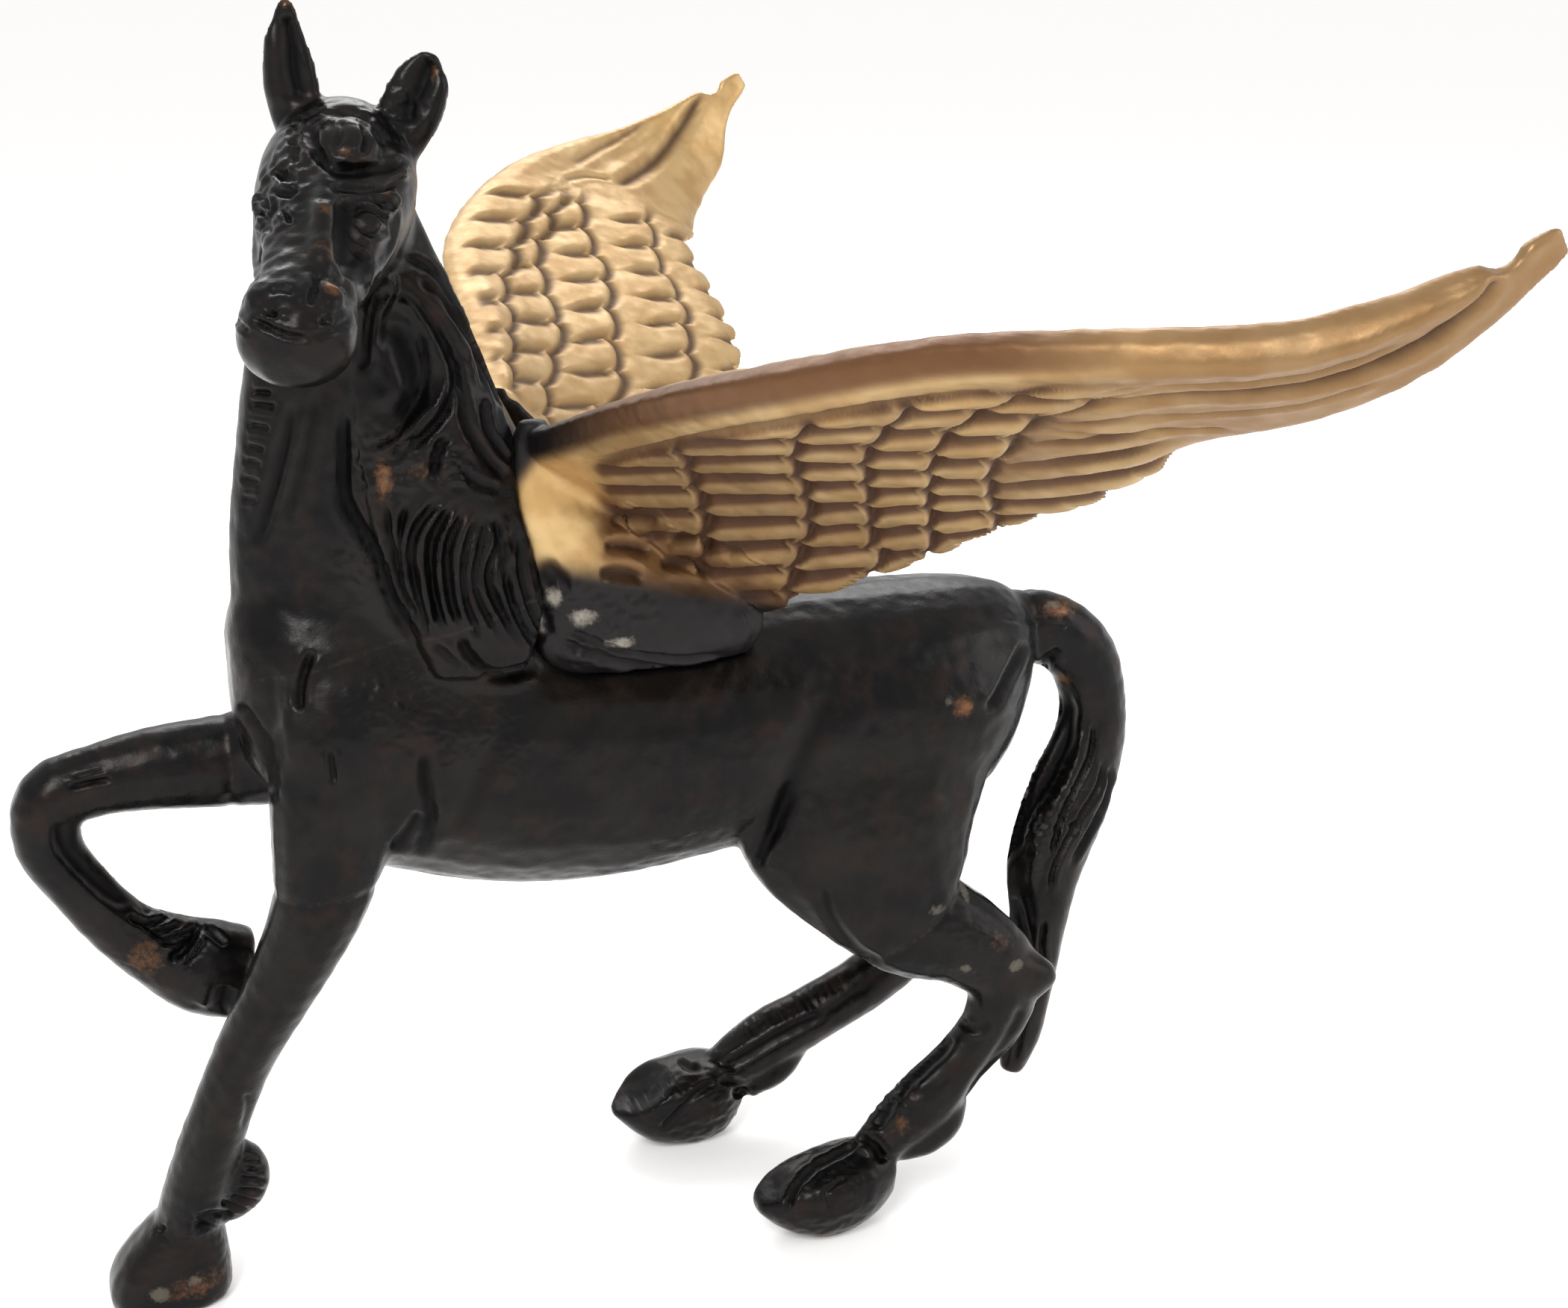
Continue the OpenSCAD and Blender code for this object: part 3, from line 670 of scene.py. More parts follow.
# Strokes on the near side of the body, in design coordinates: points, width, depth
STROKES = [
    # the long lock that swings out from the jaw, and the hollow beside it
    ([(-28, -13, 161), (-25, -14, 158.5), (-22.5, -15, 151.5), (-22.5, -15.5, 147.5),
      (-25, -16, 144.5), (-31, -15.5, 139.5)], 1.0, -1.1),
    ([(-29, -13.5, 157.5), (-27, -14.5, 152.5), (-26.5, -15.5, 147.5), (-30, -15.5, 143)], 1.7, 1.3),
    ([(-25, -13.5, 156), (-24.5, -14.5, 150.5), (-26, -15.5, 146)], 0.6, 0.6),
    ([(-27, -14, 162), (-23.5, -14, 157.5), (-20.5, -14.5, 151), (-21, -15, 147), (-24, -16, 143),
      (-30.5, -15.5, 138)], 0.6, 0.8),
    ([(-26, -15.5, 146.5), (-29, -15.5, 142), (-32, -15, 140.5)], 0.5, 0.6),
    ([(-23.5, -16, 145.5), (-27, -16, 142), (-31, -15.5, 139)], 0.4, 0.5),
    # the jaw's edge down the neck and the front edge of the mane
    ([(-28.5, -13, 164), (-28.5, -13, 161.5), (-30.5, -13, 158), (-31.5, -13.5, 152)], 0.8, -0.9),
    ([(-30, -13, 162), (-31.5, -13, 157), (-33, -13, 150)], 0.8, 0.8),
    ([(-35.5, -9.5, 146), (-36, -10.5, 139), (-36, -11, 132), (-32.5, -12, 124), (-30.5, -13, 116.5),
      (-27, -18, 111)], 0.9, 0.9),
    # strands along the crest
    ([(-24.5, -12.5, 163.5), (-20.5, -12.5, 159), (-17, -12.5, 153), (-15.5, -14, 146)], 0.7, 0.9),
    ([(-22, -12.5, 161.5), (-19, -12.5, 156), (-15.5, -12.5, 150), (-13, -13, 143.5)], 0.6, 0.7),
    ([(-23.5, -12.5, 162), (-20, -12.5, 157), (-17.5, -12.5, 151)], 0.6, -0.6),
    ([(-26, -12, 166), (-22, -12, 163.5), (-18.5, -12, 158)], 0.6, 0.7),
    ([(-20, -15, 150), (-19.5, -16, 143), (-17, -17, 138), (-14, -16.5, 134.5)], 0.7, 0.8),
    ([(-16.5, -14, 146), (-16, -15, 141), (-13, -15.5, 136.5)], 0.6, 0.7),
    ([(-22.5, -16, 141.5), (-24, -17, 138.5), (-24.5, -17.5, 135.5)], 0.8, 0.9),
    ([(-21, -17, 137), (-18.5, -17.5, 134.5), (-15.5, -17.5, 133.5)], 0.6, 0.5),
    # the fan of wavy strands over the shoulder
    ([(-31.5, -15.5, 133), (-31, -16, 127), (-30.5, -16, 121), (-28.5, -16, 115)], 0.55, 0.8),
    ([(-28.5, -17, 133), (-30, -17.5, 128), (-30, -17.5, 121), (-28, -18, 114)], 0.5, 0.8),
    ([(-24, -18, 133.5), (-28.5, -18, 127.5), (-28.5, -18, 121), (-27, -18, 112)], 0.6, 0.75),
    ([(-23, -18, 132.5), (-27, -18, 127.5), (-27, -18.5, 121), (-26, -18, 112.5)], 0.45, -0.5),
    ([(-22.5, -18, 132), (-25.5, -18.5, 127.5), (-26, -19, 121), (-24.5, -18.5, 113)], 0.6, 0.75),
    ([(-21.5, -18, 131.5), (-24.5, -18.5, 126.5), (-25, -19, 120), (-23.5, -19, 113.5)], 0.45, -0.5),
    ([(-20.5, -18, 131.5), (-23.5, -19, 126), (-23.5, -19.5, 119), (-22.5, -19.5, 114)], 0.6, 0.75),
    ([(-18.5, -18, 130.5), (-21, -19, 125), (-21.5, -19.5, 119), (-19.5, -19.5, 112)], 0.6, 0.75),
    ([(-17.5, -18, 130), (-19, -19, 125.5), (-20, -19.5, 119.5), (-16.5, -19.5, 111.5)], 0.6, 0.75),
    ([(-16.5, -18, 130), (-16, -18.5, 126), (-18, -19.5, 120.5), (-13.5, -18.5, 109.5)], 0.65, 0.8),
    ([(-15.5, -18, 129), (-15, -19, 124.5), (-16, -19.5, 119), (-12.5, -17.5, 110)], 0.45, -0.55),
    ([(-14.5, -18, 127.5), (-15.5, -19, 122), (-14, -19, 114.5), (-10, -15, 108.5)], 0.65, 0.8),
    ([(-12.5, -17, 127), (-13, -18, 121), (-11.5, -18, 115), (-9.5, -16, 111)], 0.5, 0.7),
    # the curled ends of the mane
    ([(-22.5, -19.5, 113.5), (-21.5, -19, 110), (-18.5, -18, 106.5), (-15, -15.5, 105),
      (-10, -14.5, 105.5)], 0.9, 1.1),
    ([(-26.5, -18, 112), (-24, -18, 109.5), (-22, -18, 107.5)], 0.6, 0.5),
    # notches and folds down the throat and chest
    ([(-47, -4, 147), (-44.5, -6, 147)], 0.5, 0.8), ([(-47.5, -4, 145.5), (-44, -6, 145)], 0.5, 0.7),
    ([(-48, -4, 142.5), (-45, -6, 142)], 0.45, 0.6), ([(-48.5, -4, 139.5), (-46, -6, 139)], 0.45, 0.6),
    ([(-49, -4, 137.5), (-46.5, -6, 137)], 0.4, 0.5), ([(-49.5, -4, 135), (-47, -6, 134.5)], 0.4, 0.5),
    ([(-49.5, -4, 132), (-47.5, -6, 132)], 0.4, 0.45),
    ([(-42, -7.5, 146), (-43.5, -7, 140), (-46, -7, 132.5), (-48.5, -6, 125)], 0.9, 0.6),
    ([(-38.5, -9, 148), (-41.5, -8.5, 137.5), (-44, -8, 130)], 0.8, 0.4),
    ([(-42.5, -13, 111.5), (-44.5, -13, 106.5), (-45, -13.5, 102.5)], 0.7, 0.9),
    ([(-41.5, -16.5, 97), (-41.5, -17.5, 92.5)], 0.5, 0.6),
    ([(-48.5, -10, 109), (-48.5, -10.5, 101), (-48.5, -13, 93)], 1.3, 0.35),
    # behind the elbow, and where the raised leg meets the chest
    ([(-28, -18, 96), (-28.5, -18, 91), (-28, -17, 84.5), (-29.5, -12, 77)], 1.2, 0.9),
    ([(-29, -16.5, 86), (-31, -15, 82), (-33, -13, 78.5)], 0.9, 0.8),
    ([(-52.5, -4, 101.5), (-50, -8.5, 97.5), (-49, -10.5, 92.5), (-49.5, -11.5, 88)], 0.7, 0.7),
    # the shoulder, ribs, flank and thigh
    ([(-14, -18, 100), (-20, -19, 90), (-24, -18, 82)], 2.2, 0.35),
    ([(29, -19.5, 84), (26.5, -18.5, 77.5), (24.5, -16.5, 71.5), (23.5, -16, 68)], 1.1, 1.0),
    ([(25, -17, 73), (27, -19, 80), (31, -20, 90), (36, -19, 98)], 2.6, 0.55),
    ([(33, -20, 66), (34.5, -20, 60), (39, -19, 53), (45, -18, 48)], 1.0, 0.5),
    # below the tail's root
    ([(73, -9.5, 98), (69.5, -13, 96.5), (65.5, -16, 93), (62, -18, 89.5)], 0.8, 0.8),
    ([(82, -4.5, 94), (81, -2, 91.5), (80.5, -1.5, 89)], 0.7, 0.6),
    ([(67.5, -10, 103), (73, -8, 101), (78, -7, 100.5), (83, -5.5, 99.5)], 0.6, 0.3),
    # the raised leg: slot above the knee, inside of the cannon, fetlock and heel
    ([(-77, 7, 87.5), (-73.5, 7, 88), (-70.5, 7, 88)], 0.5, 0.7),
    ([(-76, 7, 89), (-71.5, 7, 89.5)], 0.35, 0.4),
    ([(-78.5, 7.5, 82.5), (-78.5, 7.5, 78.5), (-76.5, 8.5, 74.5), (-73, 9, 69.5), (-69, 9.5, 65.5)],
      1.3, 1.0), ([(-70.5, 8.5, 65), (-67.5, 8.5, 63), (-64.5, 8.5, 63.5)], 0.5, 0.8),
    ([(-68.5, 8, 63), (-65.5, 8.5, 61.5), (-62, 9, 62)], 0.5, 0.8),
    ([(-67.5, 8, 61.5), (-64, 8, 60.5), (-59.5, 9.5, 61)], 0.5, 0.8),
    ([(-66.5, 7.5, 60), (-62.5, 8, 59.5), (-59.5, 9.5, 60.5)], 0.5, 0.8),
    ([(-65, 6.5, 57), (-63, 7, 58.5), (-60, 8.5, 60)], 0.6, 0.9),
    ([(-63.5, 6.5, 56.5), (-61.5, 7, 58), (-59.5, 8.5, 59.5)], 0.5, -0.8),
    ([(-59, 11, 60.5), (-57.5, 9, 59), (-56, 8, 57.5)], 0.6, 0.6),
    ([(-57, 5.5, 52), (-57.5, 5.5, 50), (-58.5, 6.5, 47)], 1.4, 1.2),
    # the standing foreleg: nicks behind the knee, lines of the tuft, heel pit
    ([(-57.5, -3, 24.5), (-54.5, -2.5, 23)], 0.4, 0.5),
    ([(-58.5, -3.5, 23), (-54, -2.5, 21)], 0.4, 0.6),
    ([(-59, -3.5, 21), (-54.5, -1.5, 18.5)], 0.4, 0.6), ([(-60, -3.5, 20), (-55.5, -2, 17)], 0.4, 0.6),
    ([(-61.5, -3.5, 19.5), (-57.5, -2, 16)], 0.4, 0.6), ([(-57.5, -3, 26), (-55, -2.5, 25)], 0.4, 0.4),
    ([(-66, -3.5, 17), (-63, -3.5, 17.5), (-60, -3, 16.5)], 0.6, 0.7),
    ([(-65, -3.5, 17), (-64.5, -3.5, 14.5)], 1.2, 1.3),
    ([(-71, -1, 15.5), (-70.5, -1, 14.5)], 0.7, 0.6),
    ([(-56.5, -7.5, 40), (-56.5, -7.5, 37), (-57.5, -7, 33)], 0.6, 0.4),
    ([(-52.5, -14, 60), (-56, -11.5, 52), (-59.5, -8.5, 45), (-63.5, -5.5, 36), (-67, -3, 28)],
      1.6, 0.3),
    # the far hind leg: its front edge, the pastern, heel pocket and hoof
    ([(28.5, 16.5, 14.5), (32.5, 15.5, 16.5), (40, 15, 20), (48, 14, 23)], 0.9, 0.7),
    ([(27, 14, 13.5), (29.5, 14, 13), (31.5, 15, 11.5), (32.5, 16.5, 8.5)], 0.7, 0.8),
    ([(31.5, 15.5, 10.5), (32, 16.5, 7.5)], 1.3, 1.2),
    ([(16, 14.5, 5.5), (18.5, 13.5, 8.5), (22.5, 13.5, 12), (26.5, 14, 13.5)], 0.6, 0.6),
    ([(21.5, 21.5, 15), (23, 17.5, 15), (25, 17.5, 15)], 0.6, 0.6),
    # the near hind leg: hock, tendons, fetlock, braided pastern and hoof
    ([(68.5, -22.5, 39), (66.5, -22, 34), (63.5, -21, 28), (59, -20, 20)], 1.2, 0.6),
    ([(58.5, -17.5, 35.5), (60.5, -20, 34.5), (63, -21.5, 36)], 0.6, 0.35),
    ([(57, -17.5, 33), (55.5, -18, 30.5), (51.5, -18, 27.5), (47.5, -17.5, 23.5)], 1.0, 0.7),
    ([(47, -17, 22.5), (45.5, -17.5, 20.5), (43.5, -18.5, 18.5)], 0.9, 0.6),
    ([(41, -16.5, 16.5), (43, -18.5, 15.5), (44.5, -20.5, 13)], 0.8, 1.1),
    ([(43, -16.5, 17), (44.5, -19, 16), (46, -20, 14)], 0.45, 0.5),
    ([(41.5, -17, 16), (38, -16.5, 14), (33, -17.5, 13), (28.5, -19.5, 11), (27, -21, 7.5)], 0.6, 0.9),
    ([(37, -22, 13), (33, -22.5, 11), (33.5, -23, 7.5)], 0.4, 0.3),
    # the tail: the long hollow down its front and the locks behind it
    ([(84.5, -2.5, 87), (84.5, -2.5, 77.5), (80, -4.5, 70.5), (75.5, -4.5, 63.5), (73.5, -6, 56)],
      1.6, 1.4),
    ([(86.5, -5, 80), (85.5, -5.5, 73), (80.5, -7, 65.5), (77, -8, 58), (75.5, -9, 52)], 1.0, -0.6),
    ([(89, -4.5, 80.5), (87.5, -6, 74), (81.5, -8, 64.5), (79, -9.5, 57)], 0.45, 0.7),
    ([(90.5, -6, 74), (89, -7, 69), (85, -8, 64), (80, -9.5, 57), (78.5, -10.5, 51.5)], 0.45, 0.75),
    ([(92, -5.5, 72), (91.5, -6.5, 68), (88.5, -7.5, 63), (82.5, -9.5, 55.5)], 0.45, 0.75),
    ([(82.5, -8.5, 63), (84, -8.5, 63.5), (84, -8.5, 62), (83, -9, 61.5)], 0.4, 0.5),
    ([(77.5, -11, 48), (77, -11.5, 43), (78, -11.5, 37)], 0.5, 0.6),
    ([(75.5, -11.5, 34), (74, -11.5, 28), (72.5, -11.5, 21)], 0.5, 0.5),
    ([(72.5, -8, 52), (74, -9, 47), (74.5, -11, 41)], 0.8, 0.6),
]

# Strokes on the right side, which the near side only suggests
FAR_STROKES = [
    ([(-24, 18, 104), (-27, 18, 97), (-28.5, 18, 91), (-30, 16, 84)], 0.9, 0.6),
    ([(24.5, 16, 74), (26, 18, 69), (28, 18, 64)], 0.9, 0.7),
    ([(25, 17, 73), (27, 19, 80), (31, 20, 90), (36, 19, 98)], 2.6, 0.55),
    ([(73, 9.5, 98), (69.5, 13, 96.5), (65.5, 16, 93), (62, 18, 89.5)], 0.8, 0.8),
    ([(-30, 12, 160), (-36, 10, 150), (-40, 9, 138), (-42, 10, 124)], 2.0, 0.5),
    ([(-22, 10, 168), (-16, 10, 158), (-13, 12, 146), (-10, 14, 132)], 0.8, 0.6),
    ([(-19, 10, 168), (-13, 10, 157), (-10, 12, 145), (-7, 14, 131)], 0.6, 0.5),
    ([(-25, 10, 166), (-19, 10, 156), (-16, 12, 145), (-14, 14, 133)], 0.6, 0.4),
    ([(-49, 12, 100), (-47, 15, 95), (-46, 15, 88)], 0.8, 0.6),
    ([(70, 20, 34), (66, 20, 27), (60, 20, 20)], 1.0, 0.6),
    ([(90, 6, 74), (85, 8, 64), (80, 9, 55)], 0.5, 0.6),
    ([(93, 5, 74), (88, 8, 62), (82, 9, 53)], 0.5, 0.6),
    ([(86, 6, 80), (83, 8, 70), (78, 9, 60)], 0.5, 0.6), ([(-76, 17, 88), (-71, 17, 89)], 0.6, 0.4),
    ([(40, 24, 12), (35, 24, 13), (30, 24, 12)], 0.7, 0.6),
]

# Rough patches: centre, radius, height and size of the lumps
ROUGH = [
    (head(14, -4.5, 5.5), 8, 0.5, 1.4), (head(4, -2, 6), 6, 0.4, 1.1), (head(22, -4.5, 5), 6, 0.3, 1.4),
    (head(0, 8, 5), 7, 0.3, 0.9), (head(34, 0, 5), 12, 0.16, 1.4), ((-31, -16, 138), 8, 0.4, 1.2),
    ((-22, -17, 137), 6, 0.4, 1.0), ((-33, -14, 124), 8, 0.25, 1.0), ((-31, -16, 103), 9, 0.22, 0.8),
    ((-20, -18, 96), 10, 0.2, 0.8), ((78, -6, 68), 12, 0.25, 0.9), ((46, -17, 22), 9, 0.3, 1.2),
    ((58, -20, 50), 10, 0.12, 0.8), ((26, 16, 8), 12, 0.18, 1.2), ((34, -20, 9), 12, 0.16, 1.2),
    ((-64, -2, 10), 12, 0.12, 1.0), ((-66, 8, 60), 9, 0.2, 0.8),
]

# Burnished and filled spots, and dark spots of painted shade in pockets and hollows: mask, centre,
# radii and amount
SPOTS = [
    ("wear", head(24, 2.5, 5.5), (2.2, 2.2, 6.5), 0.9), ("wear", head(30, 3.5, 5), (3, 3, 4), 1.0),
    ("wear", head(14.5, 8.5, 2.5), (1.9, 1.9, 1.5), 1.0), ("wear", head(36, 5, 5), (2, 2, 2.4), 1.2),
    ("wear", head(12, 3.5, 7.5), (2.2, 2.2, 1.8), 0.7),
    ("wear", head(8.5, 6.5, 5.5), (1.4, 1.4, 2.4), 0.8),
    ("wear", (-38.5, -4.5, 199.5), (2, 2, 1.8), 0.8),
    ("wear", (-20.5, -10.5, 190), (1.2, 1.6, 3.6), 0.8),
    ("wear", head(19.5, 7.5, 2), (1.4, 1.4, 1.2), 0.6),
    ("wear", head(41.5, -3.5, 5), (1.4, 1.4, 1.4), 0.5),
    ("wear", (-31.5, -16, 136), (2.6, 2.6, 4.6), 1.0), ("wear", (-27, -17, 137), (3.2, 3, 3.4), 0.6),
    ("wear", (-68.5, 7, 58), (4.6, 4.6, 5), 0.8), ("wear", (-66, -3, 5), (11, 8, 4.4), 0.7),
    ("wear", (48, -19, 19), (3, 3, 3), 0.9), ("wear", (63, -22, 51), (5, 4, 5), 0.6),
    ("wear", (38, -21.5, 10), (6, 4, 5), 0.5), ("wear", (34, -20, 1.5), (9, 6, 2), 0.7),
    ("wear", (82, -3, 101), (8, 6, 3.4), 0.8), ("wear", (57.5, -18.5, 91.5), (3.4, 3, 3.4), 1.0),
    ("wear", (84, -2, 88), (2.6, 3, 2.4), 1.0), ("wear", (25, 16, 7), (9, 6, 6), 0.5),
    ("wear", (-52, -3, 118), (4, 4, 16), 0.25), ("wear", (30, 14.5, 14), (4, 3, 2), 0.5),
    ("filler", (52, -23, 59), (3.4, 3, 1.6), 0.9), ("filler", (58, -19.5, 60), (1.5, 4, 3), 1.0),
    ("filler", (66, -23.5, 47), (2.4, 2.4, 1.6), 1.2), ("filler", (57, -23, 48), (1.6, 2, 1.6), 1.0),
    ("filler", (54, -21, 45.5), (1.6, 2, 1), 0.8), ("filler", (-72, -3.5, 5), (2.6, 2.4, 2.4), 1.0),
    ("filler", (-66.5, -3, 6), (2, 2, 1.6), 0.8), ("filler", (55, -18.5, 93), (1.6, 2, 1.6), 0.7),
    ("filler", (81, -3, 101.5), (3, 3, 1.2), 0.8), ("filler", (82, -4, 98), (3.4, 3, 2.4), 0.4),
    ("filler", (-31.5, -16, 136.5), (1.4, 1.4, 3), 0.6), ("filler", (20, 15, 12), (4, 3, 2), 0.4),
    # painted shade: dark spots in the pockets, pits and hollows
    ("groove", (-48.5, -8, 94), (3.2, 6, 7), 0.8), ("groove", (-57.5, 5.5, 50), (3, 4, 5), 0.9),
    ("groove", (-77, 8, 78), (2.4, 3, 6), 0.7), ("groove", (-71, 9, 67.5), (3, 3, 3), 0.6),
    ("groove", (72, -6, 52), (4, 5, 9), 0.8), ("groove", head(15.5, 5, 5), (3.4, 3.4, 3), 0.6),
    ("groove", (-65, -3.5, 16), (2.4, 3, 2.6), 0.7), ("groove", (32, 16, 8), (2.6, 3, 3), 0.6),
]


def file_marks(skin, start, end, across, count, depth, seed):
    """Fine parallel cuts from start to end, each running along across."""
    for i in range(count):
        u = (i + 0.5 * jitter(i, seed)) / count
        centre = vec(*start) + u * (vec(*end) - start)
        reach = vec(*across) * (0.8 + 0.3 * jitter(i + 3, seed))
        skin.stroke([centre - reach, centre, centre + reach], 0.26, depth, lip=0, ends=0.3,
                    dark=0.5)


def jitter(i, seed):
    """A fixed number from -1 to 1 for each whole number."""
    return np.modf(np.sin(i * 12.9898 + seed * 78.233) * 43758.5453)[0]


clay = model_horse()
skin = Skin(*clay.mesh())
for key in ("groove", "wear", "filler"):
    skin.mask(key)
for path, width, depth in HEAD_STROKES:
    skin.stroke([head(*p) for p in path], width, depth)
for path, width, depth in HEAD_FAR_STROKES:
    skin.stroke([head(*p) for p in path], width, depth, facing=-SIDE + 0.3 * CROWN)
for path, width, depth in STROKES:
    skin.stroke(path, width, depth)
for path, width, depth in FAR_STROKES:
    skin.stroke(path, width, depth, facing=RIGHT)
file_marks(skin, (28, 19, 17.6), (52, 15.8, 28), (-1.4, 0, 3.0), 34, 0.16, 1)
file_marks(skin, (12, 17, 9), (26, 17.4, 15.4), (-1.2, 0, 2.8), 22, 0.18, 2)
file_marks(skin, (78.6, -8, 66), (74.6, -8.6, 50), (2.2, 0, 0.3), 20, 0.14, 3)
file_marks(skin, (46, -17, 21.4), (57, -17.6, 33), (1.8, 0, -1.4), 14, 0.18, 4)
file_marks(skin, (-76, 7, 92), (-54, 6, 95), (0.3, 0, 2.2), 20, 0.07, 5)
skin.refresh()
for centre, radius, amount, size in ROUGH:
    skin.roughen(amount, size, 3, skin.spot(centre, radius))
skin.roughen(0.10, 2.2, 5)
for name, centre, radii, amount in SPOTS:
    skin.patch(name, centre, radii, amount)
skin.refresh()

# --- pieces of the horse -----------------------------------------------------

NAMES = CASTINGS + BODY_BRAZES
parts = cut_at_joints(skin, JOINTS.values())
centres = piece_centres(parts)
voxel = np.clip(np.rint(centres / GRID).astype(int) - clay.first, 0,
                np.array(clay.shape) - 1)
labels = clay.owner[tuple(voxel.T)].astype(int)
for name, (centre, out, half) in JOINTS.items():
    limb = NAMES.index("neck_and_head" if name == "neck" else name)
    layer = NAMES.index(name + "_braze")
    level = (centres - centre) @ np.array(out)
    close = (np.abs(level) < 2) & (np.linalg.norm(centres - centre, axis=1) < half)
    labels[close & (level < 0)] = 0
    labels[close & (level > 0) & (level < BRAZE)] = layer
    labels[close & (level > BRAZE)] = limb
pieces_of(parts, labels, NAMES, [BRONZE] * len(CASTINGS) + [BRAZED] * len(BODY_BRAZES))

# --- the wings ---------------------------------------------------------------

# Leading and trailing edges of the left wing, from root to tip
LEAD = [(-10, -8, 139), (-10, -20, 142), (-7.5, -40, 148.5), (-5.5, -62, 154.8),
        (2.5, -81, 160.5), (15, -97, 165.5), (31, -112, 167.5), (45, -121, 169),
        (60, -126, 174.5), (72, -126.5, 180)]
TRAIL = [(24, -8, 106), (30, -20, 113), (41, -38, 123), (48, -56, 133), (50, -68, 138),
         (49.5, -82, 144.5), (48.5, -96, 152), (54, -110, 157), (62.5, -120.5, 164),
         (74.5, -126.5, 176.5)]
WING_JOINT = ((8, -11, 105), (0, -1, 0), 60)
FAN = 0.9  # how far the feathers on the upper face lean along the span
FEATHER = 10  # width of a feather on the upper face, along the span
LEAN = 3.2  # how far the quills on the under face lean along the span
QUILL = 21  # width of a quill on the under face, along the span
CHORD = 45  # typical chord in mm
SLOPE = 73  # how many mm of span a row on the under face moves for the whole chord
EDGE_ROW = 1.04  # chord of the last row's tips, just past the trailing edge

# The other rows on the upper face, front to back: spans, and the chord of the tips there
UPPER_ROWS = [([10, 45, 75, 95], [0.10, 0.17, 0.21, 0.2]),
              ([10, 30, 45, 65, 90], [0.24, 0.28, 0.34, 0.31, 0.3]),
              ([10, 36, 70, 83, 100], [0.44, 0.55, 0.5, 0.41, 0.3]),
              ([10, 50, 70, 82, 104], [0.72, 0.81, 0.79, 0.74, 0.7])]
UNDER_ROWS = [57, 82, 97, 109, 124]  # span where each row would meet the leading edge


class Blade:
    """Span (mm along the middle of the wing) and chord (0 at the leading edge) of a point."""

    def __init__(self):
        self.lead, self.trail = curve(LEAD, 12), curve(TRAIL, 12)
        middle = (self.lead + self.trail) / 2
        steps = np.linalg.norm(np.diff(middle, axis=0), axis=1)
        self.span = np.concatenate([[0], np.cumsum(steps)])
        self.width = np.linalg.norm(self.trail - self.lead, axis=1)

    def point(self, span, chord):
        a = np.array([np.interp(span, self.span, self.lead[:, i]) for i in range(3)]).T
        b = np.array([np.interp(span, self.span, self.trail[:, i]) for i in range(3)]).T
        return a + (b - a) * np.asarray(chord)[..., None]

    def place(self, points):
        """Span and chord of each point, and the upward normal of the blade there."""
        spans, chords = np.meshgrid(np.linspace(0, self.span[-1], 160), np.linspace(0, 1, 50))
        spans, chords = spans.ravel(), chords.ravel()
        grid = self.point(spans, chords)
        tree = kdtree.KDTree(len(grid))
        for i, g in enumerate(grid):
            tree.insert(g, i)
        tree.balance()
        nearest = np.array([tree.find(p)[1] for p in points])
        s, c = spans[nearest], chords[nearest]
        for _ in range(3):
            here = self.point(s, c)
            along = (self.point(s + 0.5, c) - self.point(s - 0.5, c))
            across = (self.point(s, c + 0.01) - self.point(s, c - 0.01)) / 0.02
            gap = points - here
            s = s + np.clip((gap * along).sum(1) / (along ** 2).sum(1), -2, 2)
            c = c + np.clip((gap * across).sum(1) / (across ** 2).sum(1), -0.1, 0.1)
            s = np.clip(s, 0, self.span[-1])
        up = np.cross(along, across)
        return s, c, up / np.linalg.norm(up, axis=1)[:, None]


def feathers(s, c, width, tips, first, fan, pitch, seed, edges, body_mm):
    """Height in mm and groove mask of rows of overlapping feathers.

    Each row of tips is their chord at every point, and the front rows lie over
    the ones behind.  The feathers start at the first chord, are pitch mm wide
    and rise over body_mm, and their side edges run fan mm along the span for
    each mm of chord.  edges is the width of the grooves between them.
    """
    height = np.zeros_like(s)
    groove = np.zeros_like(s)
    for number, row in enumerate(reversed(tips)):
        q = (s - fan * CHORD * c) / pitch + 0.5 * (number % 2)
        i = np.floor(q + 0.5)
        w = (q - i) * 2 + 0.12 * jitter(i, seed + number)
        tip = row + 0.022 * jitter(i + 7, seed + number)
        e = (tip - c) * width - 1.6 * np.abs(w) ** 2.4
        on = smooth(e, -0.35, 0.35)
        body = smooth(-e, -body_mm, 0)
        lens = smooth(body, 0.15, 0.7)
        edge = np.exp(-((1 - np.abs(w)) / (edges * (0.3 + lens))) ** 2) * smooth(e, 0, 2) * lens
        own = 0.2 + 0.6 * body - 0.8 * edge + 0.16 * (1 - w ** 2)
        mark = 0.9 * edge
        rim = np.exp(-((e + 0.9) / 1.1) ** 2)
        height = height * (1 - on) + own * on - 0.55 * rim
        groove = np.maximum(groove * (1 - on) + mark * on, rim)
    shown = smooth(c, first, first + 0.04)
    return height * shown, groove * shown


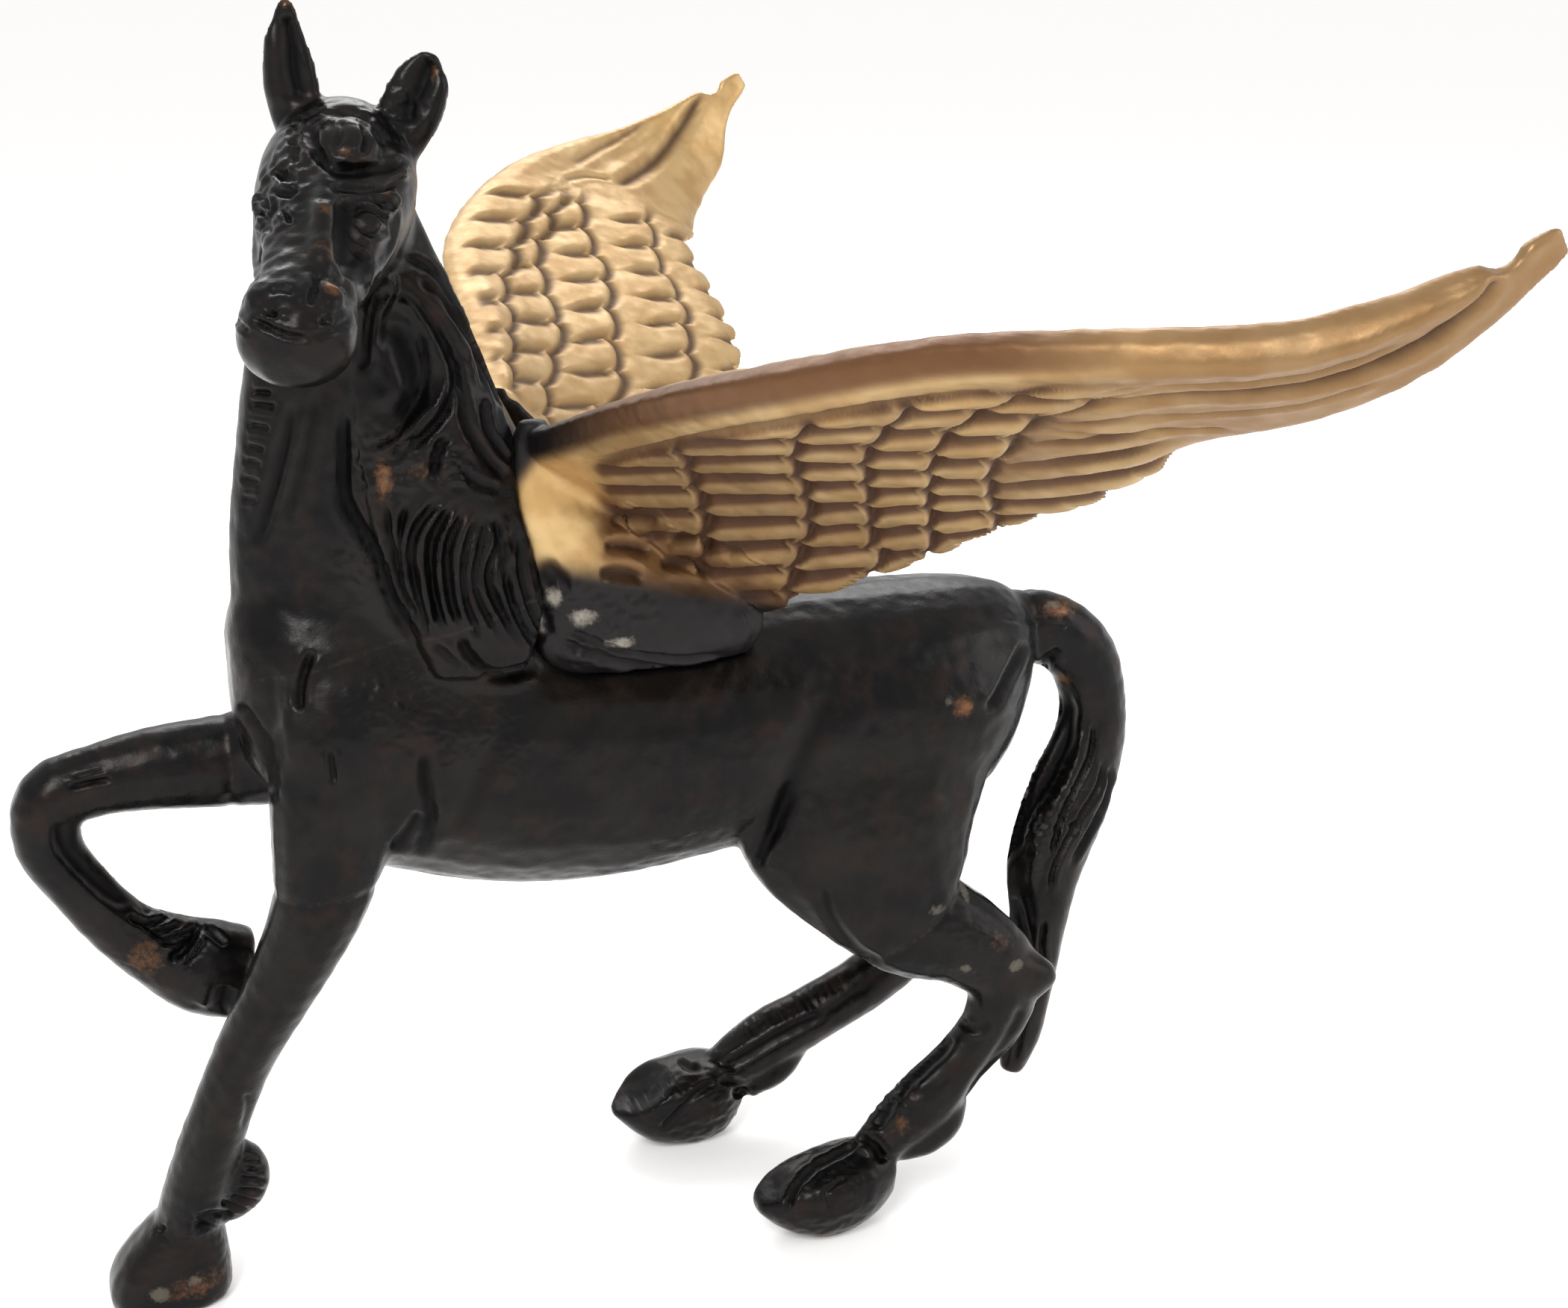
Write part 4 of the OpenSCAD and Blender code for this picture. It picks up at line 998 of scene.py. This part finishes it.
def model_wing():
    """The left wing and its braze layer, with feathers on both faces."""
    clay = Clay((-18, -132, 98), (84, 2, 186))
    for index, name in enumerate(["left_wing", "left_wing_braze"]):
        clay.merge(index, name)
    blade = Blade()
    clay.fill((8, -14, 122), 30, clay.blurred(1.6))
    clay.lump(blade.point(146.2, -0.12), (2.7, 2.7, 2.7), soft=0.8, cut=True)
    clay.d = clay.blurred(0.45)
    wing = Skin(*clay.mesh())
    s, c, up = blade.place(wing.points)
    width = np.interp(s, blade.span, blade.width)
    facing = (wing.normals * up).sum(1)
    inside = smooth(c, 0.0, 0.02) * smooth(1.0 - c, -0.02, 0.02)
    on_blade = inside * smooth(np.linalg.norm(wing.points - blade.point(s, c), axis=1), 5.5, 3.5)
    top = smooth(facing, 0.25, 0.6) * on_blade
    under = smooth(-facing, 0.25, 0.6) * on_blade

    # the feathers of the upper face, up to where the bare tip begins
    last = np.full_like(s, EDGE_ROW)
    tips = [np.interp(s, *row) for row in UPPER_ROWS] + [last]
    high, dark = feathers(s, c, width, tips, 0.03, FAN, FEATHER, 1, 0.26, 13)
    part = smooth(s, 4, 12) * smooth(-s - 30 * (0.7 - c), -108, -98)
    lift, marks = high * part * top, dark * part * top
    # the quills of the under face, past the bare palm
    tips = [(start - s) / SLOPE for start in UNDER_ROWS] + [last]
    high, dark = feathers(s, c, width, tips, 0.12, LEAN, QUILL, 2, 0.36, 36)
    part = smooth(s + SLOPE * c, 28, 34) * smooth(-s, -112, -98)
    lift += 1.3 * high * part * under
    marks += dark * part * under
    wing.points += wing.normals * lift[:, None]
    # the rounded ends of the feathers along the trailing edge
    w = (s - FAN * CHORD) / FEATHER
    w = 2 * (w - np.floor(w + 0.5))
    lobe = 1.7 * (np.sqrt(1 - 0.98 * w ** 2) - 0.7) * smooth(c, 0.84, 1.0)
    lobe *= smooth(s, 6, 14) * smooth(-s, -108, -98)
    wing.points += unit_rows(blade.point(s, 1.0 + 0 * s) - blade.point(s, 0 * s)) * lobe[:, None]

    # painted shade with patina: the grooves between the feathers and under their tips are darkened
    wing.mask("groove")[:] = marks
    # painted shade: the under face is browned all over, most in the low parts between the quills, where
    # patina lies too; the upper face gets a little brown
    low = (1 - smooth(high, 0.3, 0.85)) * smooth(c, 0.1, 0.15)
    brown = 0.12 + part * (0.12 + low * (0.84 - 0.2 * smooth(s, 45, 85)))
    wing.mask("tan")[:] = under * brown + 0.24 * top
    wing.mask("black")
    wing.mask("filler")
    wing.refresh()
    for face, lines in ((1, UPPER_LINES), (-1, UNDER_LINES)):
        for path, thick, deep in lines:
            line = blade.point(*np.array(path, float).T)
            start = vec(path[0][0])
            across = blade.point(start, vec(1.0)) - blade.point(start, vec(0.0))
            normal = np.cross(line[-1] - line[0], across[0])
            wing.stroke(line + unit(normal) * face * 1.2, thick, deep, facing=normal * face)
    return wing, s, c, under


# Long lines in span and chord, with their width and depth
UPPER_LINES = [
    ([(104, 0.46), (114, 0.5), (126, 0.5), (137, 0.38), (145, 0.08)], 1.2, 0.9),
    ([(100, 0.2), (110, 0.19), (120, 0.15), (128, 0.1)], 0.9, 0.5),
    ([(94, 0.24), (101, 0.3), (106, 0.42)], 0.7, 0.45),
]
UNDER_LINES = [
    ([(20, 0.13), (40, 0.13), (60, 0.13), (80, 0.14), (98, 0.18)], 0.8, 0.5),
    ([(98, 0.34), (110, 0.36), (124, 0.4), (136, 0.4), (143, 0.22), (145.5, 0.05)], 1.0, 0.9),
    ([(92, 0.46), (100, 0.58), (108, 0.7), (116, 0.82)], 0.7, 0.5),
    ([(102, 0.2), (112, 0.22), (124, 0.24), (136, 0.24)], 0.6, 0.35),
    ([(104, 0.52), (114, 0.58), (124, 0.62), (134, 0.62)], 0.5, 0.3),
    ([(98, 0.34), (94, 0.25), (98, 0.19)], 0.8, 0.5),
]

# Lines on the pad at the wing's root: points, width, depth
PAD_LINES = [
    ([(-8, -15.5, 109.5), (0.5, -17, 106), (10.5, -15.5, 102.5), (20, -15.5, 102)], 0.7, 0.9),
    ([(-7, -15.5, 111.5), (1, -17, 107.5), (10.5, -16, 104.5), (19, -15.5, 104)], 0.5, 0.6),
    ([(-9.5, -14, 118), (-9, -14.5, 113), (-8.5, -14.5, 110)], 0.8, 0.5),
]

# Filler on the pad: centre, radii and amount
PAD_FILLER = [
    ((-8, -16.4, 116.2), (2.6, 3, 2.6), 1.1), ((-3.9, -17, 113), (3.6, 3, 2.2), 1.1),
    ((1.5, -17.6, 108.6), (4.6, 3, 1.6), 1.0), ((-9.6, -15, 112), (1.6, 3, 3), 0.9),
]

wing, span, chord, under = model_wing()
for path, width, depth in PAD_LINES:
    wing.stroke(path, width, depth)
wing.stroke([(-8.6, -16.7, 120.4), (-7.4, -16.7, 119)], 1.5, 1.5, ends=0)
wing.refresh()
wing.roughen(0.5, 1.3, 8, smooth(122 - wing.points[:, 2], 0, 8) * wing.spot((-2, -17, 114), 12))
wing.roughen(0.12, 2.4, 9)
wing.refresh()
for place, radii, amount in PAD_FILLER:
    wing.patch("filler", place, radii, amount)
for column in range(3):
    for row in range(4 - column):
        start = vec(1.5 + 8 * column - row, -17.5 - 1.5 * column, 131.5 - 4 * row - 3 * column)
        wing.stroke([start, start + vec(3.5, -0.5, 0), start + vec(7, -1, -1)], 0.9, 1.0)
# painted shade in the pit on the pad
wing.patch("groove", (-8, -16.7, 119.8), (3, 3, 2.4), 1.0)

# The black of the pad, the brown above it and the brown of the short feathers at the root
x, y, z = wing.points.T
below = 122 - z - 0.28 * (x + 8)
dark_pad = smooth(below, -2, 2.5)
pad_edge = 0.9 * smooth(below, -9, 0) * smooth(x, -6, 4)
root = smooth(x, -2.5, 0.5) * (1 - smooth(span, 12, 22)) * smooth(137 - z, 0, 4) * smooth(-y, 12, 14)
pad_edge = np.maximum(pad_edge, 0.85 * root)

for side, prefix in ((1, "left"), (-1, "right")):
    points = wing.points * (1, side, 1)
    if side < 0:  # the right wing's tip is broader
        broad = 5 * smooth(span, 101, 113) * (1 - smooth(span, 138, 150)) * smooth(chord, 0.35, 1.0)
        points += broad[:, None] * (0.8, 0, -0.6)
    skin_side = Skin(points, wing.quads if side > 0 else wing.quads[:, ::-1])
    for key, values in wing.masks.items():
        skin_side.mask(key)[:] = values
    rim = smooth(-chord, -0.085, -0.03) * (1 - smooth(span, 95, 125)) if side > 0 else 0.0
    palm_edge = smooth(span + SLOPE * chord, 24, 34) * (1 - smooth(span, 40, 60)) * under
    brown = np.maximum(np.maximum(rim, 0.5 * palm_edge), pad_edge)
    # painted shade: the near wing's tip is browned towards its end
    tip = 0.7 * smooth(span, 75, 120) if side > 0 else 0.0
    skin_side.mask("tan")[:] = np.maximum(np.maximum(wing.mask("tan"), brown), tip)
    skin_side.mask("black")[:] = np.maximum(rim * (1 - smooth(span, 12, 48)), dark_pad)
    centre, out, half = WING_JOINT
    joint = (vec(*centre) * (1, side, 1), vec(*out) * (1, side, 1), half)
    parts = cut_at_joints(skin_side, [joint])
    level = piece_centres(parts) @ joint[1] - joint[0] @ joint[1]
    labels = np.where((level > 0) & (level < BRAZE), 1, 0)
    pieces_of(parts, labels, [f"{prefix}_wing", f"{prefix}_wing_braze"], [BRASS, BRAZED])

# --- carried-over pieces -----------------------------------------------------

for name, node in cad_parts.items():
    if name.endswith("_pin"):
        node.data.materials.clear()
        node.data.materials.append(STEEL)

# --- floor, light and camera -------------------------------------------------

def area_light(name, place, size, power, target=(0, 0, 0.09)):
    data = bpy.data.lights.new(name, "AREA")
    data.shape = "RECTANGLE"
    data.size, data.size_y = size
    data.energy = power
    light = bpy.data.objects.new(name, data)
    light.location = place
    light.rotation_euler = (Vector(target) - Vector(place)).to_track_quat("-Z", "Y").to_euler()
    bpy.context.scene.collection.objects.link(light)


floor_mesh = bpy.data.meshes.new("floor")
REACH = 9.0
floor_mesh.from_pydata([(-REACH, -REACH, 0), (REACH, -REACH, 0), (REACH, REACH, 0),
                        (-REACH, REACH, 0)], [], [(0, 1, 2, 3)])
floor = bpy.data.objects.new("floor", floor_mesh)
bpy.context.scene.collection.objects.link(floor)
ground = Nodes("pale floor")
ground.feed(ground.shader, **{"Base Color": colour(250, 249, 248), "Roughness": 0.8,
                              "Emission Color": colour(255, 254, 253), "Emission Strength": 0.16})
floor_mesh.materials.append(ground.material)

world = bpy.data.worlds.new("studio")
world.use_nodes = True
world.node_tree.nodes["Background"].inputs["Color"].default_value = (1, 1, 1, 1)
world.node_tree.nodes["Background"].inputs["Strength"].default_value = 0.85
bpy.context.scene.world = world
area_light("key", (-0.55, -0.75, 0.95), (0.4, 0.4), 8)
area_light("fill", (0.9, -0.5, 0.5), (0.5, 0.8), 3)
area_light("back", (0.2, 0.9, 0.9), (1.0, 0.5), 7)
bpy.context.scene.view_settings.view_transform = "Standard"

camera_data = bpy.data.cameras.new("camera")
camera_data.lens = 50
camera_data.sensor_width = 36
camera = bpy.data.objects.new("camera", camera_data)
camera.location = Vector(EYE - MIDDLE) * SCALE
TURN, TILT = np.radians(-20.8), np.radians(18.7)
camera.rotation_euler = (np.pi / 2 - TILT, 0, TURN)
bpy.context.scene.collection.objects.link(camera)
bpy.context.scene.camera = camera
